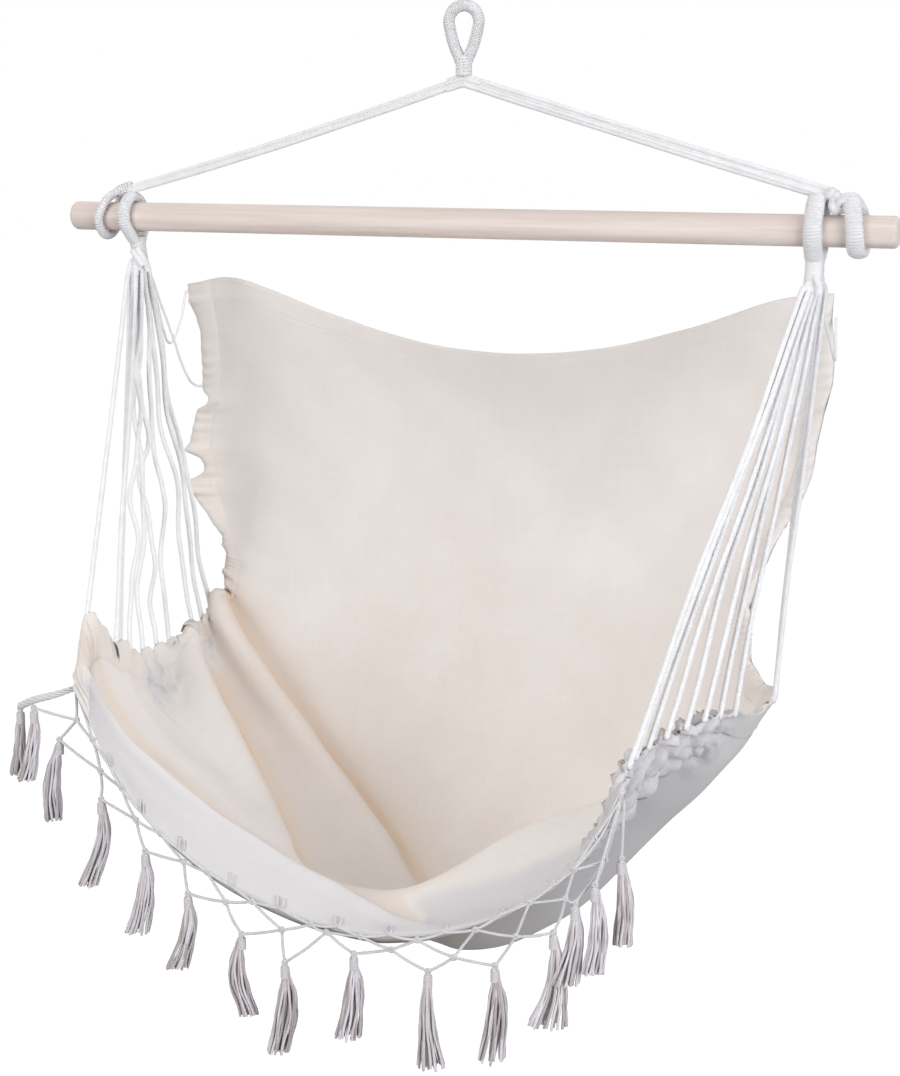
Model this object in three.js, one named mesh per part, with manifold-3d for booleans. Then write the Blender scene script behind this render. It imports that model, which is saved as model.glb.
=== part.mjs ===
// Hammock chair: a cotton sling with a knotted fringe, hung by cords from a wooden spreader bar.
// Millimetres, +Z up. X runs along the bar, -Y is the front edge of the seat.
// The origin is the hang point: the inside top of the rope eye at the top of the chair.

import * as THREE from 'three';
import { mergeVertices } from 'three/addons/utils/BufferGeometryUtils.js';
import Module from 'manifold-3d';

const wasm = await Module();
wasm.setup();

// Clearances
const seatGap = 0.3;
const barClearance = 0.1;
const tasselGap = 0.48;

// Spreader bar
const barLength = 1000;
const barDiameter = 34;
const barEdgeRadius = 5;
const barSides = 48;

// Hanging eye and the neck below it
const barDrop = 232;
const barAside = 11;
const eyeHoleWidth = 22;
const eyeLegEnd = 53;
const eyeCoreRadius = 3.6;
const eyeTwineRadius = 1.2;
const eyeTurns = 22;
const neckLength = 12;
const neckRadius = 6.6;
const neckTwineRadius = 1.0;
const neckTurns = 4;
const crownRadius = 8.5;

// Bridle between the neck and the ends of the bar
const bridleHeight = 10;
const bridleWidth = 6;
const bridleStrands = 4;
const endLoopInset = 49;
const endLoopLean = 27;
const endLoopTurns = 14;
const knotLength = 24;
const knotHeight = 24;
const knotInboard = 21;
const knotRise = 38.5;

// Loops that carry the seat
const seatLoopInset = 88;
const seatLoopDrop = 60;
const loopCoreRadius = 5;
const loopTwineRadius = 1.5;
const seatLoopTurns = 18;
const whippingTurns = 3;
const whippingHeight = 13;
const whippingSlack = 0.7;

// Cords between the seat loops and the sides of the sling
const cordDiameter = 4.8;
const cordSpacing = 5.4;
const lacingDiameter = 3.6;

// Sling of canvas
const backHalfWidth = 410;
const frontReach = 340;
const slingDrop = 810;
const canvasThickness = 2.4;
const foldHeight = 30;

// Fringe net and tassels
const netDepth = 44;
const netCordWidth = 3.4;
const netOverhang = 450;
const tasselCount = 15;
const tasselLength = 88;
const tasselNeckRadius = 4.5;
const tasselNeckLength = 12;
const tasselSkirtRadius = 10;
const tasselLobes = 6;
const tasselLobeDepth = 1.8;

// How finely the round and wound pieces are divided
const ropeSides = 8;
const loopSteps = 36;
const ringSteps = 20;
const knotSides = 12;
const knotRows = 9;
const servingSteps = 7;
const whippingSteps = 10;

const right = new THREE.Vector3(1, 0, 0);
const back = new THREE.Vector3(0, 1, 0);
const up = new THREE.Vector3(0, 0, 1);

const cotton = { color: 0xf1eff0, roughness: 0.9, metalness: 0 };
const canvas = { color: 0xdcd4ce, roughness: 0.92, metalness: 0 };
const wood = { color: 0xe3d2c6, roughness: 0.55, metalness: 0 };
const fringe = { color: 0xb3a8a6, roughness: 0.95, metalness: 0 };

function part(name, geometry, finish) {
  const mesh = new THREE.Mesh(geometry, new THREE.MeshStandardMaterial(finish));
  mesh.name = name;
  return mesh;
}

// Turns a closed geometry into a solid that can be joined to another.
function solid(geometry) {
  const bare = geometry.index ? geometry.toNonIndexed() : geometry.clone();
  bare.deleteAttribute('normal');
  bare.deleteAttribute('uv');
  const merged = mergeVertices(bare, 1e-4);
  return new wasm.Manifold(new wasm.Mesh({
    numProp: 3,
    vertProperties: new Float32Array(merged.attributes.position.array),
    triVerts: new Uint32Array(merged.index.array),
  }));
}

function joined(...geometries) {
  let whole = solid(geometries[0]);
  for (const geometry of geometries.slice(1)) {
    whole = whole.add(solid(geometry));
  }
  const mesh = whole.getMesh();
  const geometry = new THREE.BufferGeometry();
  geometry.setAttribute('position', new THREE.Float32BufferAttribute(mesh.vertProperties, mesh.numProp));
  geometry.setIndex([...mesh.triVerts]);
  return geometry;
}

// A closed skin over rings of points that all have the same count, with a fan at each end.
function loft(rings) {
  const count = rings[0].length;
  const points = rings.flat();
  const ends = [rings[0], rings[rings.length - 1]];
  const middles = ends.map((ring) => ring.reduce((sum, p) => sum.add(p), new THREE.Vector3())
    .divideScalar(count));
  const index = [];
  for (let r = 0; r + 1 < rings.length; r += 1) {
    for (let k = 0; k < count; k += 1) {
      const a = r * count + k;
      const b = r * count + (k + 1) % count;
      index.push(a, b, b + count, a, b + count, a + count);
    }
  }
  const last = (rings.length - 1) * count;
  for (let k = 0; k < count; k += 1) {
    const next = (k + 1) % count;
    index.push(points.length, next, k, points.length + 1, last + k, last + next);
  }
  const geometry = new THREE.BufferGeometry().setFromPoints([...points, ...middles]);
  geometry.setIndex(index);
  return geometry;
}

function outlined(points) {
  const shape = new THREE.Shape();
  points.forEach(([x, y], k) => shape[k ? 'lineTo' : 'moveTo'](x, y));
  shape.closePath();
  return shape;
}

function roundShape(radius, sides) {
  const points = [];
  for (let k = 0; k < sides; k += 1) {
    const turn = 2 * Math.PI * k / sides;
    points.push([radius * Math.cos(turn), radius * Math.sin(turn)]);
  }
  return outlined(points);
}

// Outline of cords lying side by side: a row of lobes, each given by shares of its pitch and of
// the half width of the row.
const lobeShares = [[0.02, 0.74], [0.5, 1], [0.98, 0.74]];

function bundleShape(length, width, strands) {
  const pitch = length / strands;
  const upper = [];
  for (let k = 0; k < strands; k += 1) {
    for (const [alongShare, widthShare] of lobeShares) {
      upper.push([-length / 2 + pitch * (k + alongShare), width / 2 * widthShare]);
    }
  }
  const lower = upper.map(([x, y]) => [x, -y]).reverse();
  return outlined([...upper, ...lower]);
}

function tube(path, radius, sides, steps) {
  return new THREE.ExtrudeGeometry(roundShape(radius, sides), {
    steps, bevelEnabled: false, extrudePath: path,
  });
}

// The way a rope takes round a circle and down into two parallel legs, in the plane of two axes.
function eyeRoute(radius, halfGap, drop, straight, across) {
  const reach = drop - straight;
  const lean = Math.asin(radius / Math.hypot(reach, halfGap)) - Math.atan2(halfGap, reach);
  const points = [[-halfGap, -drop], [-halfGap, -reach - straight / 2], [-halfGap, -reach]];
  const legSteps = 3;
  const from = [-radius * Math.cos(lean), -radius * Math.sin(lean)];
  for (let k = 1; k < legSteps; k += 1) {
    const share = k / legSteps;
    points.push([
      THREE.MathUtils.lerp(-halfGap, from[0], share),
      THREE.MathUtils.lerp(-reach, from[1], share),
    ]);
  }
  const arcSteps = 10;
  for (let k = 0; k <= arcSteps; k += 1) {
    const turn = Math.PI + lean - (Math.PI + 2 * lean) * k / arcSteps;
    points.push([radius * Math.cos(turn), radius * Math.sin(turn)]);
  }
  const mirrored = points.slice(0, legSteps + 2).reverse().map(([a, b]) => [-a, b]);
  const route = [...points, ...mirrored].map(([a, b]) => across.clone().multiplyScalar(a)
    .addScaledVector(up, b));
  return new THREE.CatmullRomCurve3(route, false, 'centripetal');
}

// Twine wound round a rope, or round two that lie apart: one unbroken tube of four sides. The rope
// runs in the plane that is square to the given axis.
function winding(name, path, wound) {
  const { axis, startShare, endShare, turns, turnSteps, radius, apart, half } = wound;
  const steps = turns * turnSteps;
  const rings = [];
  for (let k = 0; k <= steps; k += 1) {
    const at = THREE.MathUtils.lerp(startShare, endShare, k / steps);
    const tangent = path.getTangentAt(at);
    const normal = axis.clone().cross(tangent).normalize();
    const over = tangent.clone().cross(normal).normalize();
    const turn = 2 * Math.PI * k / turnSteps;
    const out = normal.clone().multiplyScalar(Math.cos(turn)).addScaledVector(over, Math.sin(turn));
    const aside = apart * Math.sign(Math.round(2 * Math.sin(turn)));
    const centre = path.getPointAt(at).addScaledVector(out, radius).addScaledVector(over, aside);
    rings.push([
      centre.clone().addScaledVector(out, half),
      centre.clone().addScaledVector(tangent, -half),
      centre.clone().addScaledVector(out, -half),
      centre.clone().addScaledVector(tangent, half),
    ]);
  }
  const geometry = loft(rings);
  console.log(`${name}: least gap between turns ${leastGap(rings, turnSteps).toFixed(2)} mm`);
  return geometry;
}

// Least distance between points of the tube that lie more than half a turn apart along it.
function leastGap(rings, turnSteps) {
  let least = Infinity;
  const skipped = Math.ceil(turnSteps / 2) + 1;
  for (let i = 0; i < rings.length; i += 1) {
    for (let j = i + skipped; j < rings.length; j += 1) {
      for (const p of rings[i]) {
        for (const q of rings[j]) {
          least = Math.min(least, p.distanceTo(q));
        }
      }
    }
  }
  return least;
}

// How far the middle of a wound twine lies from the middle of its rope, so that the flats clear it.
function woundRadius(coreRadius, twineRadius, turnSteps) {
  return (coreRadius + seatGap + twineRadius) / Math.cos(Math.PI / turnSteps);
}

function servedRadius(coreRadius, twineRadius) {
  return woundRadius(coreRadius, twineRadius, servingSteps) + twineRadius;
}

const eyeOuterRadius = servedRadius(eyeCoreRadius, eyeTwineRadius);
const loopOuterRadius = servedRadius(loopCoreRadius, loopTwineRadius);
const crownDrop = eyeLegEnd + seatGap + neckLength + seatGap + crownRadius;
const loopRadius = barDiameter / 2 + barClearance + loopOuterRadius;

// Hanging eye: a rope bent into a pear-shaped loop and served with twine.
function hangingEye() {
  const group = new THREE.Group();
  const radius = eyeHoleWidth / 2 + eyeOuterRadius;
  const centre = eyeHoleWidth / 2;
  const path = eyeRoute(radius, eyeCoreRadius + seatGap, eyeLegEnd - centre, 2 * eyeCoreRadius, right);
  const rope = part('hanging_eye_rope', tube(path, eyeCoreRadius, ropeSides, loopSteps), cotton);
  const clearShare = shareWhereApart(path, eyeOuterRadius + seatGap, right);
  const twine = winding('hanging_eye_serving', path, {
    axis: back,
    startShare: clearShare,
    endShare: 1 - clearShare,
    turns: eyeTurns,
    turnSteps: servingSteps,
    radius: woundRadius(eyeCoreRadius, eyeTwineRadius, servingSteps),
    apart: 0,
    half: eyeTwineRadius,
  });
  const serving = part('hanging_eye_serving', twine, cotton);
  for (const mesh of [rope, serving]) {
    mesh.position.z = -centre;
    group.add(mesh);
  }
  return group;
}

// First share of a looped path at which its two legs are far enough apart for a winding.
function shareWhereApart(path, halfDistance, across) {
  const tries = 400;
  for (let k = 0; k < tries / 2; k += 1) {
    if (Math.abs(path.getPointAt(k / tries).dot(across)) >= halfDistance) {
      return k / tries;
    }
  }
  return 0.5;
}

// Neck: the legs of the eye bound into one round bundle, with the knotted crown of the bridle below.
function neckAndCrown() {
  const group = new THREE.Group();
  const core = new THREE.CylinderGeometry(neckRadius, neckRadius, neckLength, 2 * ropeSides);
  core.rotateX(Math.PI / 2);
  const coreMesh = part('neck_core', core, cotton);
  coreMesh.position.z = -eyeLegEnd - seatGap - neckLength / 2;
  const path = new THREE.LineCurve3(new THREE.Vector3(0, 0, -neckLength / 2),
    new THREE.Vector3(0, 0, neckLength / 2));
  const edgeShare = neckTwineRadius / neckLength;
  const twine = winding('neck_whipping', path, {
    axis: back,
    startShare: edgeShare,
    endShare: 1 - edgeShare,
    turns: neckTurns,
    turnSteps: whippingSteps,
    radius: woundRadius(neckRadius, neckTwineRadius, whippingSteps),
    apart: 0,
    half: neckTwineRadius,
  });
  const whipping = part('neck_whipping', twine, cotton);
  whipping.position.z = coreMesh.position.z;
  const crown = part('bridle_crown', new THREE.SphereGeometry(crownRadius, knotSides, knotRows), cotton);
  crown.position.z = -crownDrop;
  group.add(coreMesh, whipping, crown);
  return group;
}

// Bridle: a flat bundle of cords from the crown to the knot of an end loop.
function bridle(name, side) {
  const crown = new THREE.Vector3(barAside, 0, barDrop - crownDrop);
  const knot = knotPlace(side);
  const way = knot.clone().sub(crown);
  const start = crownRadius + seatGap;
  const length = way.length() - start - knotLength / 2 - seatGap;
  const geometry = new THREE.ExtrudeGeometry(bundleShape(bridleHeight, bridleWidth, bridleStrands), {
    steps: 1, depth: length, bevelEnabled: false,
  });
  geometry.rotateY(Math.PI / 2);
  geometry.translate(start, 0, 0);
  const mesh = part(name, geometry, cotton);
  mesh.position.copy(crown);
  mesh.rotation.y = -Math.atan2(way.z, Math.abs(way.x));
  if (side < 0) {
    mesh.rotation.set(0, Math.PI - mesh.rotation.y, 0);
  }
  return mesh;
}

function knotPlace(side) {
  return new THREE.Vector3(side * (barLength / 2 - endLoopInset - knotInboard), 0, knotRise);
}

// Share of the ring's turn that lies open under its knot, and share left bare on each side of it.
const ringOpenShare = 0.02;
const ringBareShare = 0.13;

// End loop: a served rope ring round the bar that leans inboard at its top, with the bridle's knot.
function endLoop(side, word) {
  const middle = barLength / 2 - endLoopInset;
  const lean = Math.tan(THREE.MathUtils.degToRad(endLoopLean));
  const around = (share) => {
    const turn = 2 * Math.PI * share;
    const rise = loopRadius * Math.cos(turn);
    return new THREE.Vector3(side * (middle - lean * rise), -loopRadius * Math.sin(turn), rise);
  };
  const points = [];
  for (let k = 0; k <= ringSteps; k += 1) {
    points.push(around(THREE.MathUtils.lerp(ringOpenShare, 1 - ringOpenShare, k / ringSteps)));
  }
  const path = new THREE.CatmullRomCurve3(points, false, 'centripetal');
  const ring = tube(path, loopCoreRadius, ropeSides, ringSteps);
  const knot = new THREE.SphereGeometry(1, knotSides, knotRows);
  knot.rotateX(Math.PI / 2);
  knot.scale(knotLength / 2, knotHeight / 2, knotHeight / 2);
  const place = knotPlace(side);
  knot.translate(place.x, place.y, place.z);
  const group = new THREE.Group();
  group.add(part(`end_loop_${word}`, joined(ring, knot), cotton));
  const twine = winding(`end_loop_serving_${word}`, path, {
    axis: new THREE.Vector3(1, 0, side * lean).normalize(),
    startShare: ringBareShare,
    endShare: 1 - ringBareShare,
    turns: endLoopTurns,
    turnSteps: servingSteps,
    radius: woundRadius(loopCoreRadius, loopTwineRadius, servingSteps),
    apart: 0,
    half: loopTwineRadius,
  });
  group.add(part(`end_loop_serving_${word}`, twine, cotton));
  return group;
}

// Spreader bar: a round wooden dowel with eased ends and a flat face at each end.
function spreaderBar() {
  const radius = barDiameter / 2;
  const half = barLength / 2;
  const profile = [new THREE.Vector2(0, -half)];
  const edgeSteps = 3;
  for (let k = 0; k <= edgeSteps; k += 1) {
    const turn = Math.PI / 2 * k / edgeSteps;
    profile.push(new THREE.Vector2(radius - barEdgeRadius * (1 - Math.sin(turn)),
      -half + barEdgeRadius * (1 - Math.cos(turn))));
  }
  const mirrored = profile.slice().reverse().map((p) => new THREE.Vector2(p.x, -p.y));
  const geometry = new THREE.LatheGeometry([...profile, ...mirrored], barSides);
  geometry.rotateZ(-Math.PI / 2);
  return part('spreader_bar', geometry, wood);
}

// Seat loop: a served rope loop over the bar whose two legs are whipped together below it.
function seatLoop(side, word) {
  const group = new THREE.Group();
  const legGap = loopCoreRadius + seatGap;
  const path = eyeRoute(loopRadius, legGap, seatLoopDrop, whippingHeight + loopTwineRadius, back);
  group.add(part(`seat_loop_${word}`, tube(path, loopCoreRadius, ropeSides, loopSteps), cotton));
  const clearShare = shareWhereApart(path, loopOuterRadius + seatGap, back);
  const twine = winding(`seat_loop_serving_${word}`, path, {
    axis: right,
    startShare: clearShare,
    endShare: 1 - clearShare,
    turns: seatLoopTurns,
    turnSteps: servingSteps,
    radius: woundRadius(loopCoreRadius, loopTwineRadius, servingSteps),
    apart: 0,
    half: loopTwineRadius,
  });
  group.add(part(`seat_loop_serving_${word}`, twine, cotton));
  const neck = new THREE.LineCurve3(new THREE.Vector3(0, 0, -seatLoopDrop + loopTwineRadius),
    new THREE.Vector3(0, 0, -seatLoopDrop + whippingHeight));
  const whipping = winding(`seat_loop_whipping_${word}`, neck, {
    axis: back,
    startShare: 0,
    endShare: 1,
    turns: whippingTurns,
    turnSteps: whippingSteps,
    radius: woundRadius(loopCoreRadius, loopTwineRadius, whippingSteps) + whippingSlack,
    apart: legGap,
    half: loopTwineRadius,
  });
  group.add(part(`seat_loop_whipping_${word}`, whipping, cotton));
  group.position.x = side * (barLength / 2 - seatLoopInset);
  return group;
}

// Places that the sling passes through, row by row from the top of the back to the front edge.
// Each has a share of backHalfWidth, of frontReach and of slingDrop, measured from the bar.
const slingShares = [
  [[-1.00, 0.35, 0.110], [-0.83, 0.35, 0.100], [-0.54, 0.37, 0.147],
    [-0.27, 0.38, 0.185], [0.02, 0.38, 0.198], [0.30, 0.38, 0.188],
    [0.59, 0.37, 0.150], [0.84, 0.35, 0.105], [1.00, 0.35, 0.093]],
  [[-0.96, 0.36, 0.25], [-0.83, 0.38, 0.25], [-0.55, 0.42, 0.27],
    [-0.27, 0.45, 0.29], [0.01, 0.46, 0.30], [0.29, 0.45, 0.29],
    [0.59, 0.42, 0.27], [0.85, 0.37, 0.24], [1.00, 0.35, 0.22]],
  [[-1.01, 0.35, 0.38], [-0.84, 0.38, 0.38], [-0.55, 0.43, 0.40],
    [-0.27, 0.47, 0.42], [0.01, 0.48, 0.43], [0.28, 0.47, 0.42],
    [0.57, 0.42, 0.40], [0.82, 0.36, 0.37], [0.95, 0.33, 0.36]],
  [[-0.93, 0.33, 0.50], [-0.80, 0.35, 0.50], [-0.53, 0.41, 0.53],
    [-0.26, 0.45, 0.55], [0.01, 0.46, 0.56], [0.27, 0.44, 0.55],
    [0.54, 0.39, 0.52], [0.76, 0.31, 0.48], [0.86, 0.27, 0.47]],
  [[-0.86, 0.29, 0.56], [-0.76, 0.29, 0.58], [-0.52, 0.33, 0.64],
    [-0.25, 0.38, 0.68], [0.02, 0.40, 0.69], [0.28, 0.38, 0.68],
    [0.54, 0.33, 0.64], [0.74, 0.24, 0.59], [0.83, 0.18, 0.57]],
  [[-0.89, 0.22, 0.61], [-0.78, 0.18, 0.66], [-0.52, 0.18, 0.75],
    [-0.25, 0.22, 0.81], [0.03, 0.24, 0.82], [0.29, 0.22, 0.80],
    [0.56, 0.17, 0.74], [0.78, 0.06, 0.66], [0.90, -0.02, 0.60]],
  [[-0.89, 0.00, 0.63], [-0.77, -0.02, 0.71], [-0.50, 0.00, 0.83],
    [-0.22, 0.03, 0.91], [0.07, 0.03, 0.945], [0.34, 0.00, 0.92],
    [0.62, -0.05, 0.82], [0.85, -0.12, 0.69], [0.97, -0.16, 0.61]],
  [[-0.86, -0.38, 0.62], [-0.74, -0.36, 0.72], [-0.46, -0.32, 0.86],
    [-0.18, -0.28, 0.94], [0.12, -0.27, 0.985], [0.40, -0.28, 0.94],
    [0.66, -0.30, 0.82], [0.87, -0.34, 0.70], [0.97, -0.36, 0.61]],
  [[-0.80, -0.63, 0.58], [-0.72, -0.64, 0.68], [-0.46, -0.63, 0.80],
    [-0.19, -0.62, 0.885], [0.11, -0.60, 0.865], [0.38, -0.58, 0.79],
    [0.62, -0.56, 0.725], [0.80, -0.57, 0.66], [0.88, -0.58, 0.60]],
  [[-0.80, -0.82, 0.52], [-0.73, -0.85, 0.655], [-0.56, -0.86, 0.737],
    [-0.32, -0.86, 0.806], [-0.02, -0.87, 0.86], [0.24, -0.85, 0.862],
    [0.47, -0.84, 0.825], [0.64, -0.82, 0.755], [0.75, -0.78, 0.63]],
  [[-0.81, -0.88, 0.62], [-0.70, -0.92, 0.72], [-0.55, -0.95, 0.81],
    [-0.30, -0.98, 0.865], [0.00, -1.00, 0.883], [0.27, -1.00, 0.881],
    [0.50, -0.98, 0.84], [0.66, -0.94, 0.77], [0.74, -0.88, 0.67]],
];

// Value of a smooth curve through evenly spaced values, at a share of its length.
function through(values, share) {
  const last = values.length - 1;
  const at = THREE.MathUtils.clamp(share, 0, 1) * last;
  const k = Math.min(Math.floor(at), last - 1);
  const t = at - k;
  const b = values[k];
  const c = values[k + 1];
  const a = k > 0 ? values[k - 1] : 2 * b - c;
  const d = k + 2 <= last ? values[k + 2] : 2 * c - b;
  return b + 0.5 * t * (c - a + t * (2 * a - 5 * b + 4 * c - d + t * (3 * (b - c) + d - a)));
}

// Folds that run from the left side of the sling down into the seat, as shares of it:
// where each starts and ends across and along the sling, and how wide it is. Each is steeper on
// the side of the back, and rises up and forward out of the cloth.
const foldSteepShares = { back: 1.8, front: 0.7 };
const foldWayShares = { forward: 0.5, up: 0.85 };
const foldShares = [
  { acrossStart: 0.02, alongStart: 0.55, acrossEnd: 0.48, alongEnd: 0.70, width: 0.035 },
  { acrossStart: 0.01, alongStart: 0.64, acrossEnd: 0.42, alongEnd: 0.79, width: 0.035 },
];

function foldRise(across, along) {
  let rise = 0;
  for (const fold of foldShares) {
    const share = (across - fold.acrossStart) / (fold.acrossEnd - fold.acrossStart);
    if (share > 0 && share < 1) {
      const middle = THREE.MathUtils.lerp(fold.alongStart, fold.alongEnd, share);
      const away = (along - middle) / fold.width;
      const falls = away < 0 ? foldSteepShares.back : foldSteepShares.front;
      rise += Math.sin(Math.PI * Math.sqrt(share)) * Math.exp(-((away * falls) ** 2));
    }
  }
  return foldHeight * rise;
}

function slingPoint(across, along) {
  const rowsOf = (axis) => slingShares.map((row) => through(row.map((place) => place[axis]), across));
  const [x, y, z] = [0, 1, 2].map((axis) => through(rowsOf(axis), along));
  const rise = foldRise(across, along);
  return new THREE.Vector3(
    x * backHalfWidth,
    y * frontReach - rise * foldWayShares.forward,
    rise * foldWayShares.up - z * slingDrop,
  );
}

// Step, as a share of the sling, over which its slopes are taken.
const nearShare = 0.004;

function slingNormal(across, along) {
  const acrossStep = slingPoint(Math.min(across + nearShare, 1), along)
    .sub(slingPoint(Math.max(across - nearShare, 0), along));
  const alongStep = slingPoint(across, Math.min(along + nearShare, 1))
    .sub(slingPoint(across, Math.max(along - nearShare, 0)));
  return acrossStep.cross(alongStep).normalize();
}

// Lines of the sling's grid, closer together along its side hems.
const acrossShares = [0, 0.035, 0.125, 0.19, 0.255, 0.32, 0.385, 0.45, 0.52, 0.59, 0.66, 0.73, 0.80,
  0.875, 0.965, 1];
const alongShares = [0, 0.05, 0.10, 0.15, 0.20, 0.235, 0.26, 0.31, 0.36, 0.385, 0.42, 0.46, 0.50, 0.53,
  0.56, 0.59, 0.62, 0.65, 0.68, 0.71, 0.74, 0.77, 0.80, 0.83, 0.86, 0.89, 0.92, 0.95, 0.975, 1];

// Slots in the side hems where a cord leaves its channel, by the grid line each one starts at.
const slotStartShares = { left: [0.235, 0.36, 0.59], right: [0.36, 0.59] };

function slotted(acrossIndex, alongIndex) {
  const start = alongShares[alongIndex];
  const last = acrossShares.length - 2;
  return (acrossIndex === 0 && slotStartShares.left.includes(start))
    || (acrossIndex === last && slotStartShares.right.includes(start));
}

// Sling: one sheet of canvas with its thickness, hanging in folds between the cords.
function slingCanvas() {
  const columns = acrossShares.length;
  const rows = alongShares.length;
  const faces = [[], []];
  for (const along of alongShares) {
    for (const across of acrossShares) {
      const point = slingPoint(across, along);
      const normal = slingNormal(across, along);
      faces[0].push(point.clone().addScaledVector(normal, canvasThickness / 2));
      faces[1].push(point.clone().addScaledVector(normal, -canvasThickness / 2));
    }
  }
  const far = faces[0].length;
  const index = [];
  const kept = (i, j) => i >= 0 && j >= 0 && i < columns - 1 && j < rows - 1 && !slotted(i, j);
  const wall = (a, b) => index.push(a, b + far, b, a, a + far, b + far);
  for (let j = 0; j < rows - 1; j += 1) {
    for (let i = 0; i < columns - 1; i += 1) {
      if (kept(i, j)) {
        const a = j * columns + i;
        const [b, c, d] = [a + 1, a + columns + 1, a + columns];
        index.push(a, b, c, a, c, d);
        index.push(a + far, c + far, b + far, a + far, d + far, c + far);
        if (!kept(i, j - 1)) wall(a, b);
        if (!kept(i + 1, j)) wall(b, c);
        if (!kept(i, j + 1)) wall(c, d);
        if (!kept(i - 1, j)) wall(d, a);
      }
    }
  }
  const geometry = new THREE.BufferGeometry().setFromPoints([...faces[0], ...faces[1]]);
  geometry.setIndex(index);
  return part('sling_canvas', geometry, canvas);
}

// Where a cord leaves the whipped neck of a seat loop: a column along Y and a row along X.
function cordStart(side, column, row) {
  const x = side * (barLength / 2 - seatLoopInset) + row * cordSpacing;
  return new THREE.Vector3(x, column * cordSpacing, -seatLoopDrop - seatGap);
}

// Both ends of a cord or bundle, each moved back so that its flat end just clears what holds it.
function cordEnds(cord) {
  const across = cord.side < 0 ? 0 : 1;
  const from = cordStart(cord.side, cord.column, cord.row);
  const rim = slingPoint(across, cord.along);
  const along = slingPoint(across, cord.along + nearShare)
    .sub(slingPoint(across, cord.along - nearShare));
  const way = rim.clone().sub(from).normalize();
  from.z -= cordDiameter / 2 * (cord.strands * Math.abs(way.x) + Math.abs(way.y));
  const slant = Math.abs(way.dot(along.normalize()));
  const short = canvasThickness / 2 + seatGap + cordDiameter / 2 * slant / Math.sqrt(1 - slant * slant);
  return [from, rim.addScaledVector(way, -short)];
}

// A held cord runs nearly straight, with a little slack and the waves that it keeps from the packing.
function heldCord(from, to, slack, wave, waves) {
  const points = [];
  const count = waves ? 4 * waves + 3 : 4;
  for (let k = 0; k <= count; k += 1) {
    const share = k / count;
    const hold = Math.sin(Math.PI * share);
    const point = from.clone().lerp(to, share);
    point.x += wave * hold * Math.sin(2 * Math.PI * waves * share);
    point.y -= slack * hold;
    points.push(point);
  }
  return new THREE.CatmullRomCurve3(points, false, 'centripetal');
}

// Single cords: side, column and row at the neck, share along the rim, slack, wave and number of waves.
const singleCords = [
  { name: 'corner_cord_left', side: -1, column: -2.6, row: 0, along: 0.895, slack: 0, wave: 0, waves: 0 },
  { name: 'side_cord_left_1', side: -1, column: -0.5, row: 1, along: 0.735, slack: 0, wave: 4, waves: 3 },
  { name: 'side_cord_left_2', side: -1, column: -0.5, row: 0, along: 0.69, slack: 2, wave: 5, waves: 2 },
  { name: 'side_cord_left_3', side: -1, column: -0.5, row: -1, along: 0.66, slack: 2, wave: 5, waves: 3 },
  { name: 'side_cord_left_4', side: -1, column: 0.5, row: 0.5, along: 0.635, slack: 1, wave: 4, waves: 2 },
  { name: 'side_cord_left_5', side: -1, column: 1, row: -0.5, along: 0.575, slack: 1, wave: 4, waves: 2 },
  { name: 'side_cord_left_6', side: -1, column: 1.5, row: 0.5, along: 0.545, slack: 0, wave: 3, waves: 2 },
  { name: 'side_cord_left_7', side: -1, column: 2, row: -0.5, along: 0.51, slack: 0, wave: 3, waves: 2 },
  { name: 'front_cord_right_1', side: 1, column: -2.5, row: -0.5, along: 0.93, slack: 0, wave: 0, waves: 0 },
  { name: 'front_cord_right_2', side: 1, column: -2.0, row: 0.5, along: 0.905, slack: 0, wave: 0, waves: 0 },
  { name: 'front_cord_right_3', side: 1, column: -1.5, row: -0.5, along: 0.88, slack: 0, wave: 0, waves: 0 },
  { name: 'front_cord_right_4', side: 1, column: -1.0, row: 0.5, along: 0.855, slack: 0, wave: 0, waves: 0 },
  { name: 'front_cord_right_5', side: 1, column: -0.5, row: -0.5, along: 0.83, slack: 0, wave: 0, waves: 0 },
  { name: 'front_cord_right_6', side: 1, column: 0.0, row: 0.5, along: 0.805, slack: 0, wave: 0, waves: 0 },
  { name: 'front_cord_right_7', side: 1, column: 0.5, row: -0.5, along: 0.78, slack: 0, wave: 0, waves: 0 },
  { name: 'front_cord_right_8', side: 1, column: 1.0, row: 0.5, along: 0.755, slack: 0, wave: 0, waves: 0 },
];

function suspensionCords() {
  const group = new THREE.Group();
  for (const cord of singleCords) {
    const [from, to] = cordEnds({ ...cord, strands: 1 });
    const path = heldCord(from, to, cord.slack, cord.wave, cord.waves);
    const steps = cord.waves ? 6 * cord.waves : 2;
    group.add(part(cord.name, tube(path, cordDiameter / 2, ropeSides, steps), cotton));
  }
  return group;
}

// Cords that lie side by side from the neck to one slot in the hem.
const bundles = [
  { name: 'front_cord_bundle_left', side: -1, column: -1.6, row: 0, along: 0.80, strands: 3 },
  { name: 'rear_cord_bundle_right', side: 1, column: 2.1, row: 0, along: 0.62, strands: 3 },
];

function cordBundle(bundle) {
  const [from, to] = cordEnds(bundle);
  const shape = bundleShape(bundle.strands * cordDiameter, cordDiameter, bundle.strands);
  const path = new THREE.LineCurve3(from, to);
  const geometry = new THREE.ExtrudeGeometry(shape, { steps: 1, bevelEnabled: false, extrudePath: path });
  return part(bundle.name, geometry, cotton);
}

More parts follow.
